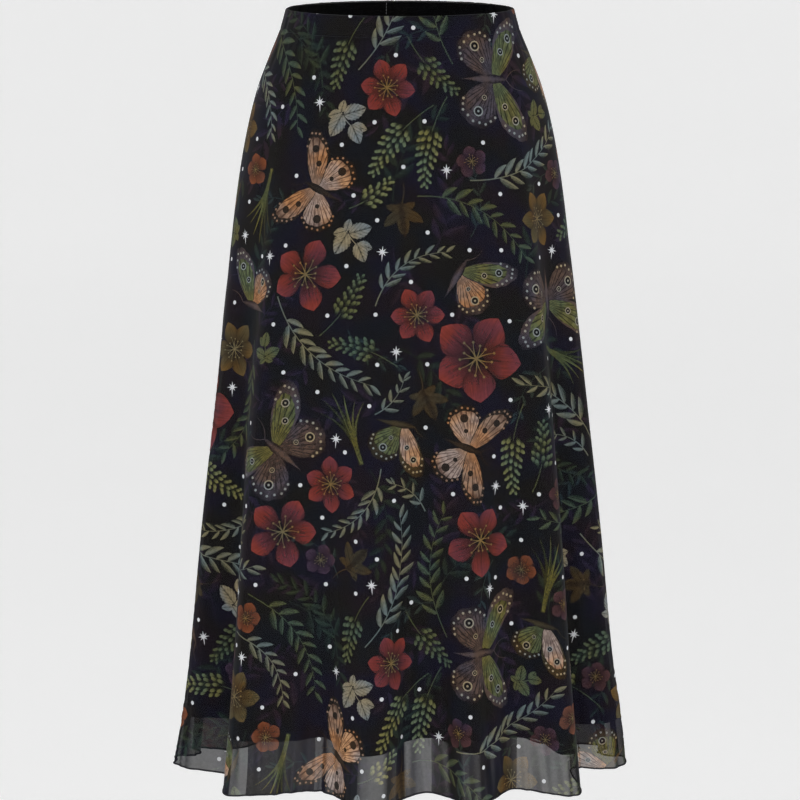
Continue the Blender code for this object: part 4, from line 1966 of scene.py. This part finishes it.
@dataclass
class OuterPanel(Panel):
    """A printed chiffon panel, cut in one with its half of the turned-over waist casing."""

    print_offset: tuple[float, float]
    fold_overs: Sequence[tuple]
    folds_top: float = 0.070
    folds_end: float = -0.002
    turned_in: float = 0.0235
    edge_step: float = 0.004
    fold_points: int = 16
    precision: float = 1e-6

    # Some runs, and how far apart the cloth's points are there: closest round the waist's gathers
    SPACING = ((0.0, 0.06, 0.16, 0.80, 0.84), (0.0026, 0.0028, 0.0058, 0.0066, 0.0036))

    def __post_init__(self) -> None:
        """Measures the cut."""
        self.path = CasingPath()
        self.hem_run = self.path.run_at(self.form.length)
        self.cut = PanelCut(self.middle_deg, self.place, -self.turned_in, self.hem_run)

    def place(self, angle_deg: Array, run: Array) -> Array:
        """The worn place of points of the cloth."""
        inset, drop = self.path.inset_and_drop(run)
        return self.form.point(angle_deg, drop, inset)

    def build(self, layout: PrintLayout, finishes: Finishes) -> Object:
        """Prints the flat cloth, cuts it and wraps it.

        Args:
            layout: One repeat of the print.
            finishes: The materials.

        Returns:
            The panel.
        """
        edge = self.cut.boundary(self.edge_step)
        patches = layout.stamped(edge.min(axis=0), edge.max(axis=0), np.array(self.print_offset))
        folded = [self.fold_over(left, right) for left, right, _ in self.fold_overs]
        flat, faces = self.triangles(edge, folded + [patch.outline for patch in patches])
        middles = flat[faces].mean(axis=1)
        inside = self.cut.holds(middles)
        faces, middles = faces[inside], middles[inside]
        layers = np.ones(len(faces))
        for outline, (*_, thicknesses) in zip(folded, self.fold_overs):
            layers[lies_inside(outline, middles)] = thicknesses
        owners = owners_of(middles, patches)
        # Faces turned in at the waist get the last patch, the near-black painted shade of the casing's
        # inside
        owners[self.cut.measured(middles)[1] < 0] = len(patches) + 1
        used, faces = np.unique(faces, return_inverse=True)
        flat, faces = flat[used], faces.reshape(-1, 3)
        obj = self.wrap(f"outer_{self.side}_cloth", *self.cut.worn(flat), faces)
        self.add_print(obj.data, flat, faces, owners, patches)
        obj.data.attributes.new("layers", "FLOAT", "FACE").data.foreach_set("value", layers)
        return ride_and_dress(obj, finishes.chiffon, "printed_chiffon", f"outer_{self.side}")

    def fold_over(self, left: float, right: float) -> Array:
        """The flat outline of a stretch that is folded over.

        Args:
            left: Where it begins along the hem, from the panel's middle.
            right: Where it ends.

        Returns:
            The outline's points.
        """
        top, bottom = self.hem_run - self.folds_top, self.hem_run - self.folds_end
        corners = np.array([(left, bottom), (right, bottom), (right, top), (left, top)])
        share = np.linspace(0.0, 1.0, self.fold_points, endpoint=False)[:, None]
        sides = [a + (b - a) * share for a, b in zip(corners, np.roll(corners, -1, axis=0))]
        along, run = np.concatenate(sides).T
        return self.cut.flat(along * (self.cut.apex + run) / (self.cut.apex + self.hem_run), run)

    def triangles(self, edge: Array, outlines: list[Array]) -> tuple[Array, Array]:
        """Cuts the flat cloth into triangles that keep to the outlines on it.

        Args:
            edge: The cut's edge.
            outlines: Outlines on the cloth, which may cross.

        Returns:
            Flat places, and three of them for each triangle.
        """
        creases, start = [], len(edge)
        for outline in outlines:
            index = start + np.arange(len(outline))
            creases.append(np.stack([index, np.roll(index, -1)], axis=1))
            start += len(outline)
        places = np.concatenate([edge, *outlines, self.cut.fill(self.SPACING)])
        lines, ring = np.concatenate(creases).tolist(), list(range(len(edge)))
        points = [Vector(place) for place in places]
        flat, _, faces, *_ = delaunay_2d_cdt(points, lines, [ring], 1, self.precision, False)
        return np.array([tuple(place) for place in flat]), np.array(faces)

    def add_print(
        self, mesh: Mesh, flat: Array, faces: Array, owners: Array,
        patches: list[Patch],
    ) -> None:
        """Stores each face's ink and its place in its motif for the material.

        Args:
            mesh: The panel's mesh.
            flat: Its vertices' flat places.
            faces: Its triangles.
            owners: The patch of each, counted from 1; 0 is the ground, and the last the casing's
                turned-in inside, which is plain near-black as painted shade.
            patches: The patches.
        """
        edge = flat.min(axis=0)
        # The last patch is the casing's inside, in near-black painted shade
        ground, inside = (
            Patch(edge, Look.GROUND, ink, 1.0, 1.0) for ink in (Ink.GROUND, Ink.INSIDE)
        )
        drawn = [ground, *patches, inside]
        owner = np.repeat(owners, 3)

        def of_each(read: Callable[[Patch], object]) -> Array:
            """Something of the patch at each face corner."""
            return np.array([read(patch) for patch in drawn])[owner]

        corner = flat[faces.ravel()]
        off = corner - of_each(lambda patch: patch.origin)
        axis = of_each(lambda patch: patch.axis)
        sideways = np.stack([axis[:, 1], -axis[:, 0]], axis=1)
        along = (off * axis).sum(axis=1) / of_each(lambda patch: patch.length)
        across = (off * sideways).sum(axis=1) / of_each(lambda patch: patch.half_breadth)
        look = of_each(lambda patch: float(patch.look.value))
        ink = of_each(lambda patch: (*patch.ink.value[0], 1.0))
        shade = of_each(lambda patch: (*patch.ink.value[1], 1.0))
        add_corner_values(mesh, "ink", "FLOAT_COLOR", ink)
        add_corner_values(mesh, "shade", "FLOAT_COLOR", shade)
        add_corner_values(mesh, "motif", "FLOAT_VECTOR", np.stack([along, across, look], axis=1))
        add_uv(mesh, "flat", corner)
        add_uv(mesh, "OFBake", (corner - edge) / float((flat.max(axis=0) - edge).max()))


@dataclass
class LiningPanel(Panel):
    """An opaque lining panel, hung inside its outer panel, with a double-turned hem."""

    length: float = 0.817
    top_drop: float = 0.0229
    inset_top: float = 0.0019
    inset_full: float = 0.0048
    inset_full_at: float = 0.12
    thickness: float = 0.0005
    hem_depth: float = 0.014
    hem_thickness: float = 0.0005
    hem_edge: float = 0.0015
    trials: int = 1440
    columns: int = 190
    rows: int = 120
    hem_rows: int = 8
    rows_end: float = 1.3
    hem_rows_begin: float = 1.15

    def __post_init__(self) -> None:
        """Reads the table of the lower edge."""
        self.longer = SmoothCurve(*np.array(LINING_EDGE).T)

    def place(self, angle_deg: Array, run: Array) -> Array:
        """The worn place of points of the lining; here a run is a share of its length."""
        edge = self.length + self.longer(angle_deg)
        drop = self.top_drop + (edge - self.top_drop) * run
        deeper = eased(drop / self.inset_full_at)
        inset = self.inset_top + (self.inset_full - self.inset_top) * deeper
        in_hem = eased((drop - edge + self.hem_depth) / self.hem_edge)
        return self.form.point(angle_deg, drop, inset - self.hem_thickness * in_hem)

    def build(self, finishes: Finishes) -> Object:
        """Cuts and hangs the panel.

        Args:
            finishes: The materials.

        Returns:
            The panel.
        """
        trial, along = self.level_line(1.0, self.trials)
        angles = np.interp(np.linspace(0.0, along[-1], self.columns + 1), along, trial)
        hem_share = self.hem_depth / (self.length - self.top_drop)
        body = np.linspace(0.0, 1.0 - self.rows_end * hem_share, self.rows)
        hem = np.linspace(1.0 - self.hem_rows_begin * hem_share, 1.0, self.hem_rows)
        angle, share = np.meshgrid(angles, np.concatenate([body, hem]))
        faces = grid_faces(*angle.shape)
        obj = self.wrap(f"lining_{self.side}_cloth", angle.ravel(), share.ravel(), faces)
        flat = np.stack([angle.ravel() / 180.0 * along[-1], -share.ravel() * self.length], axis=1)
        add_uv(obj.data, "flat", flat[faces.ravel()])
        thicken(obj, self.thickness, -1.0)
        ride_and_dress(obj, finishes.lining, "lining_cloth", f"lining_{self.side}")
        self.declare(obj, angle, share)
        return obj

    def declare(self, obj: Object, angle: Array, share: Array) -> None:
        """Measures the panel's length down its middle, and keeps nothing.

        Args:
            obj: The panel; not used.
            angle: The grid's angles.
            share: The grid's shares of the length.
        """
        points = self.place(angle.ravel(), share.ravel()).reshape(*angle.shape, 3)
        down = np.linalg.norm(np.diff(points, axis=0), axis=2)[:, self.columns // 2].sum()


@dataclass
class WaistElastic:
    """The ring of knitted elastic inside the casing, ribbed along its length."""

    form: SkirtForm
    height: float = 0.0205
    length: float = 0.74
    top_drop: float = 0.0019
    outer_inset: float = 0.0005
    inner_inset: float = 0.0025
    ribs: int = 9
    rib_depth: float = 0.00014
    columns: int = 240

    def build(self, finishes: Finishes) -> Object:
        """Makes the ring.

        Args:
            finishes: The materials.

        Returns:
            The ring.
        """
        down = np.linspace(0.0, 1.0, 4 * self.ribs + 1)
        rib = self.rib_depth * (1.0 - np.abs(np.sin(math.pi * self.ribs * down)))
        drops = self.top_drop + self.height * down
        outer = np.stack([self.outer_inset + rib, drops], axis=1)
        inner = np.stack([self.inner_inset - rib, drops], axis=1)[::-1]
        profile = np.concatenate([outer, inner])
        angles = np.linspace(0.0, FULL_TURN_DEG, self.columns, endpoint=False)
        angle = np.repeat(angles, len(profile))
        inset, drop = np.tile(profile, (self.columns, 1)).T
        index = np.arange(len(angle)).reshape(self.columns, len(profile))
        beside, below = np.roll(index, -1, axis=0), np.roll(index, -1, axis=1)
        both = np.roll(beside, -1, axis=1)
        faces = np.stack([index, below, both, beside], axis=-1).reshape(-1, 4)
        obj = make_object("waist_elastic", self.form.point(angle, drop, inset), faces.tolist())
        run = np.linspace(0.0, self.length, self.columns, endpoint=False)
        flat = np.stack([np.repeat(run, len(profile)), -drop], axis=1)
        add_uv(obj.data, "flat", flat[faces.ravel()])
        return ride_and_dress(obj, finishes.elastic, "waist_casing", "waistband")


@dataclass
class OverlockedHem:
    """A narrow rolled hem, wrapped all along in overlock thread."""

    panel: OuterPanel
    radius: float = 0.00115
    sunk: float = 0.35
    wrap_pitch: float = 0.0012
    wrap_depth: float = 0.17
    step: float = 0.00036
    above: float = 0.001
    sides: int = 6
    trials: int = 2880

    def build(self, finishes: Finishes) -> Object:
        """Rolls the hem along the panel's lower edge.

        Args:
            finishes: The materials.

        Returns:
            The hem.
        """
        panel = self.panel
        trial, along = panel.level_line(panel.hem_run, self.trials)
        run = np.linspace(0.0, along[-1], round(along[-1] / self.step) + 1)
        angle = np.interp(run, along, trial)
        level = np.full_like(angle, panel.hem_run)
        middle = panel.place(angle, level)
        outward = panel.normals(angle, level)[:, None, :]
        down = unit(middle - panel.place(angle, level - self.above))
        loops = 1.0 - self.wrap_depth * np.abs(np.sin(math.pi * run / self.wrap_pitch))
        turn = (2 * math.pi * np.arange(self.sides) / self.sides)[None, :, None]
        ring = np.cos(turn) * outward + np.sin(turn) * down[:, None, :]
        centre = middle + down * self.radius * self.sunk
        points = centre[:, None, :] + ring * (self.radius * loops)[:, None, None]
        index = np.arange(len(run) * self.sides).reshape(-1, self.sides)
        around = np.roll(index, -1, axis=1)
        faces = np.stack([index[:-1], around[:-1], around[1:], index[1:]], axis=-1).reshape(-1, 4)
        caps = [index[0][::-1].tolist(), index[-1].tolist()]
        obj = make_object(f"hem_{panel.side}_overlock", points.reshape(-1, 3), faces.tolist() + caps)
        fix_normals(obj.data)
        return ride_and_dress(obj, finishes.thread, "printed_chiffon")


@dataclass
class StitchRow:
    """A row of lock stitches: one stitch, modelled once and repeated along a line."""

    name: str
    length: float = 0.0022
    pitch: float = 0.0029
    radius: float = 0.00026
    sunk: float = 0.3
    bluntness: float = 0.6
    ahead: float = 0.001

    def stitch(self) -> tuple[Array, Array]:
        """Models one stitch along +X.

        Returns:
            Its vertices and its triangles.
        """
        bpy.ops.object.select_all(action="DESELECT")
        bpy.ops.mesh.primitive_uv_sphere_add(segments=6, ring_count=5, radius=1.0)
        obj = bpy.context.object
        bpy.ops.object.mode_set(mode="EDIT")
        bpy.ops.mesh.quads_convert_to_tris()
        bpy.ops.object.mode_set(mode="OBJECT")
        x, y, z = np.array([vert.co[:] for vert in obj.data.vertices]).T
        tris = np.array([face.vertices[:] for face in obj.data.polygons])
        bpy.data.objects.remove(obj)
        slim = np.abs(z) ** self.bluntness * np.sign(z)
        return np.stack([slim * self.length / 2, x * self.radius, y * self.radius], axis=1), tris

    def sew(self, panel: Panel, angle_deg: Array, run: Array, thread: Material) -> Object:
        """Sews the row on a panel.

        Args:
            panel: The panel.
            angle_deg: Angles from centre front along the row, close together.
            run: Their runs from the waist.
            thread: The thread.

        Returns:
            The row as one joined mesh.
        """
        line = panel.place(angle_deg, run)
        verts, tris = self.stitch()
        along = run_along(line)
        places = np.arange(self.pitch / 2, along[-1], self.pitch)
        centre = read_at(places, along, line)
        up = unit(read_at(places, along, panel.normals(angle_deg, run)))
        forward = unit(read_at(places + self.ahead, along, line) - centre)
        aside = unit(np.cross(up, forward))
        points = (centre + up * self.radius * (1.0 - self.sunk))[:, None, :]
        for i, way in enumerate((forward, aside, up)):
            points = points + verts[None, :, i, None] * way[:, None, :]
        faces = tris[None] + (np.arange(len(places)) * len(verts))[:, None, None]
        obj = make_object(self.name, points.reshape(-1, 3), faces.reshape(-1, 3).tolist())
        fix_normals(obj.data)
        return ride_and_dress(obj, thread, "waist_casing")


@dataclass
class SideSeam:
    """The pressed seam allowance down the inside of one side, with its overlocked edge."""

    panel: OuterPanel
    side: str
    seam_deg: float
    towards_deg: float
    width: float = 0.0085
    inset: float = 0.0011
    edge_inset: float = 0.0003
    thickness: float = 0.0004
    top_drop: float = 0.027
    above_hem: float = 0.001
    rows: int = 520
    columns: int = 6
    loop_pitch: float = 0.0026
    loop_reach: float = 0.0008

    def build(self, finishes: Finishes) -> Object:
        """Lays the allowance against the inside of the outer cloth.

        Args:
            finishes: The materials.

        Returns:
            The allowance.
        """
        panel = self.panel
        top = panel.path.run_at(self.top_drop)
        runs = np.linspace(top, panel.hem_run - self.above_hem, self.rows)
        line = panel.place(np.full_like(runs, self.seam_deg), runs)
        beside = panel.place(np.full_like(runs, self.seam_deg + self.towards_deg), runs)
        per_degree = np.linalg.norm(beside - line, axis=1)
        loops = self.loop_reach * np.abs(np.sin(math.pi * (runs - top) / self.loop_pitch))
        share = np.linspace(0.0, 1.0, self.columns + 1)
        reach = (self.width + loops) / per_degree
        angle = self.seam_deg + self.towards_deg * reach[:, None] * share[None, :]
        _, drop = panel.path.inset_and_drop(runs)
        drop = np.repeat(drop[:, None], self.columns + 1, axis=1)
        inset = self.inset + self.edge_inset * share[None, :] + np.zeros_like(drop)
        points = panel.form.point(angle.ravel(), drop.ravel(), inset.ravel())
        faces = grid_faces(*angle.shape)
        obj = make_object(f"side_seam_{self.side}", points, faces.tolist())
        flat = np.stack([np.tile(share * self.width, self.rows), -drop.ravel()], axis=1)
        add_uv(obj.data, "flat", flat[faces.ravel()])
        thicken(obj, self.thickness, 0.0)
        fix_normals(obj.data)
        return ride_and_dress(obj, finishes.seam, "printed_chiffon")


@dataclass
class Skirt:
    """The whole skirt."""

    front_print: tuple[float, float] = (0.061, 0.118)
    back_print: tuple[float, float] = (0.233, 0.302)
    elastic_joined_deg: float = 187.0
    elastic_join_runs: tuple[float, float] = (-0.0175, -0.0035)
    join_points: int = 40
    casing_points: int = 721

    def build(self, finishes: Finishes) -> None:
        """Builds every piece.

        Args:
            finishes: The materials.
        """
        form = SkirtForm()
        layout = PrintLayout()
        WaistElastic(form).build(finishes)
        front = OuterPanel(form, "front", FRONT_DEG, self.front_print, FRONT_FOLD_OVERS)
        back = OuterPanel(form, "back", BACK_DEG, self.back_print, BACK_FOLD_OVERS)
        seams = [
            SideSeam(front, "left", SIDE_SEAM_DEG, -1.0).build(finishes),
            SideSeam(front, "right", -SIDE_SEAM_DEG, 1.0).build(finishes),
        ]
        for panel, sewn_on in ((front, seams), (back, [])):
            cloth = panel.build(layout, finishes)
            hem = OverlockedHem(panel).build(finishes)
            stitches = self.casing_stitches(panel, finishes)
            cut = panel.cut
            width = float(cut.right[-1] - cut.left[-1])
            length = cut.last_run - cut.first_run
            log.info("%s: cut %.3f x %.3f m, %.4f m2", cloth.name, width, length, cut.area())
            cut.area()
            LiningPanel(form, panel.side, panel.middle_deg).build(finishes)
        self.join_stitches(back, finishes)

    def join_stitches(self, panel: OuterPanel, finishes: Finishes) -> Object:
        """Sews the ends of the elastic together, through the casing's inside at the back."""
        run = np.linspace(*self.elastic_join_runs, self.join_points)
        angle = np.full_like(run, self.elastic_joined_deg)
        row = StitchRow("elastic_join_stitches", length=0.0030, pitch=0.0036, radius=0.00036)
        return row.sew(panel, angle, run, finishes.pale_thread)

    def casing_stitches(self, panel: OuterPanel, finishes: Finishes) -> Object:
        """Sews the row under the elastic, along the half of it that a panel holds."""
        angle = panel.angles(self.casing_points)
        run = np.full_like(angle, panel.path.run_at(panel.path.stitch_drop))
        return StitchRow(f"casing_{panel.side}_stitches").sew(panel, angle, run, finishes.thread)


# ---- The studio ----


@dataclass
class Studio:
    """A pale floor that sweeps up into a backdrop, soft light and the camera."""

    floor_z: float = -1.60
    radius: float = 14.0
    wall: float = 9.0
    sweep: float = 5.0
    bend_points: int = 14
    spin_steps: int = 96
    weld: float = 0.0001
    paper: tuple[float, float] = (0.80, 0.82)
    paper_roughness: float = 0.9
    paper_specular: float = 0.1
    paper_glow: float = 0.365
    air_light: float = 0.30
    aim: tuple[float, float, float] = (0.0, 0.0, -0.42)
    camera_back: float = 5.0
    camera_height: float = 0.4903
    camera_down_deg: float = 10.626
    lens: float = 200.565
    sensor: float = 36.0
    sees_to: float = 100.0

    # Each lamp's name, where it hangs, its breadth in metres and its power in watts
    LAMPS = (
        ("key", (-2.6, -4.2, 2.6), 3.4, 60.0), ("fill", (3.4, -3.6, 1.2), 3.2, 34.0),
        ("top", (0.0, 0.6, 4.2), 3.6, 26.0),
    )

    def build(self) -> None:
        """Sets up the floor, the light and the camera."""
        self.add_backdrop()
        self.add_world()
        for name, place, breadth, power in self.LAMPS:
            self.add_softbox(name, place, breadth, power)
        self.add_camera()

    def add_backdrop(self) -> None:
        """Spins the floor and its rounded wall about the middle."""
        flat = self.radius - self.sweep
        profile = [(0.0, 0.0, 0.0)]
        for bend in np.linspace(0.0, 0.5 * math.pi, self.bend_points):
            rise = self.sweep * (1 - math.cos(bend))
            profile.append((flat + self.sweep * math.sin(bend), 0.0, rise))
        profile.append((self.radius, 0.0, self.wall))
        mesh = bpy.data.meshes.new("studio_sweep")
        mesh.from_pydata(profile, [(i, i + 1) for i in range(len(profile) - 1)], [])
        sweep = bpy.data.objects.new("studio_sweep", mesh)
        bpy.context.scene.collection.objects.link(sweep)
        screw = sweep.modifiers.new("spin", "SCREW")
        screw.steps = screw.render_steps = self.spin_steps
        screw.use_merge_vertices = True
        screw.merge_threshold = self.weld
        apply_modifiers(sweep)
        sweep.data.transform(Matrix.Translation((0.0, 0.0, self.floor_z)))
        sweep.data.shade_smooth()
        sweep.data.materials.append(self.paper_material())

    def paper_material(self) -> Material:
        """Matt pale paper that glows a little."""
        material, w, shader = new_material("studio paper")
        grain = w.noise(w.on_piece(), 2.0, 2.0)
        w.feed(
            shader,
            Base_Color=w.mix(grain, *((*[grey] * 3, 1.0) for grey in self.paper)),
            Roughness=self.paper_roughness,
            Specular_IOR_Level=self.paper_specular,
            Emission_Color=(1.0, 1.0, 1.0, 1.0),
            Emission_Strength=self.paper_glow,
        )
        return material

    def add_world(self) -> None:
        """Fills the shadows with an even, pale light."""
        world = bpy.data.worlds.new("studio_air")
        world.use_nodes = True
        background = world.node_tree.nodes["Background"]
        background.inputs["Color"].default_value = (1.0, 1.0, 1.0, 1.0)
        background.inputs["Strength"].default_value = self.air_light
        bpy.context.scene.world = world
        bpy.context.scene.view_settings.view_transform = "Standard"

    def add_softbox(
        self, name: str, place: tuple[float, float, float], breadth: float, power: float
    ) -> None:
        """Adds a large square lamp that faces the skirt.

        Args:
            name: Its name.
            place: Where it hangs.
            breadth: Its width and height.
            power: Its power in watts.
        """
        lamp = bpy.data.lights.new(name, "AREA")
        lamp.shape = "SQUARE"
        lamp.size = breadth
        lamp.energy = power
        obj = bpy.data.objects.new(name, lamp)
        obj.location = place
        aim = Vector(self.aim) - obj.location
        obj.rotation_euler = aim.to_track_quat("-Z", "Y").to_euler()
        bpy.context.scene.collection.objects.link(obj)

    def add_camera(self) -> None:
        """Adds the camera, in front and a little above the waist, looking down."""
        camera = bpy.data.cameras.new("camera")
        camera.sensor_width = self.sensor
        camera.lens = self.lens
        camera.clip_end = self.sees_to
        obj = bpy.data.objects.new("camera", camera)
        obj.location = (0.0, -self.camera_back, self.camera_height)
        obj.rotation_euler = (math.radians(90.0 - self.camera_down_deg), 0.0, 0.0)
        bpy.context.scene.collection.objects.link(obj)
        bpy.context.scene.camera = obj


def main() -> None:
    """Builds the skirt and the studio."""
    logging.basicConfig(level=logging.INFO, format="%(name)s: %(message)s")
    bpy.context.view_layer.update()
    finishes = Finishes()
    Skirt().build(finishes)
    Studio().build()


if __name__ == "__main__":
    main()
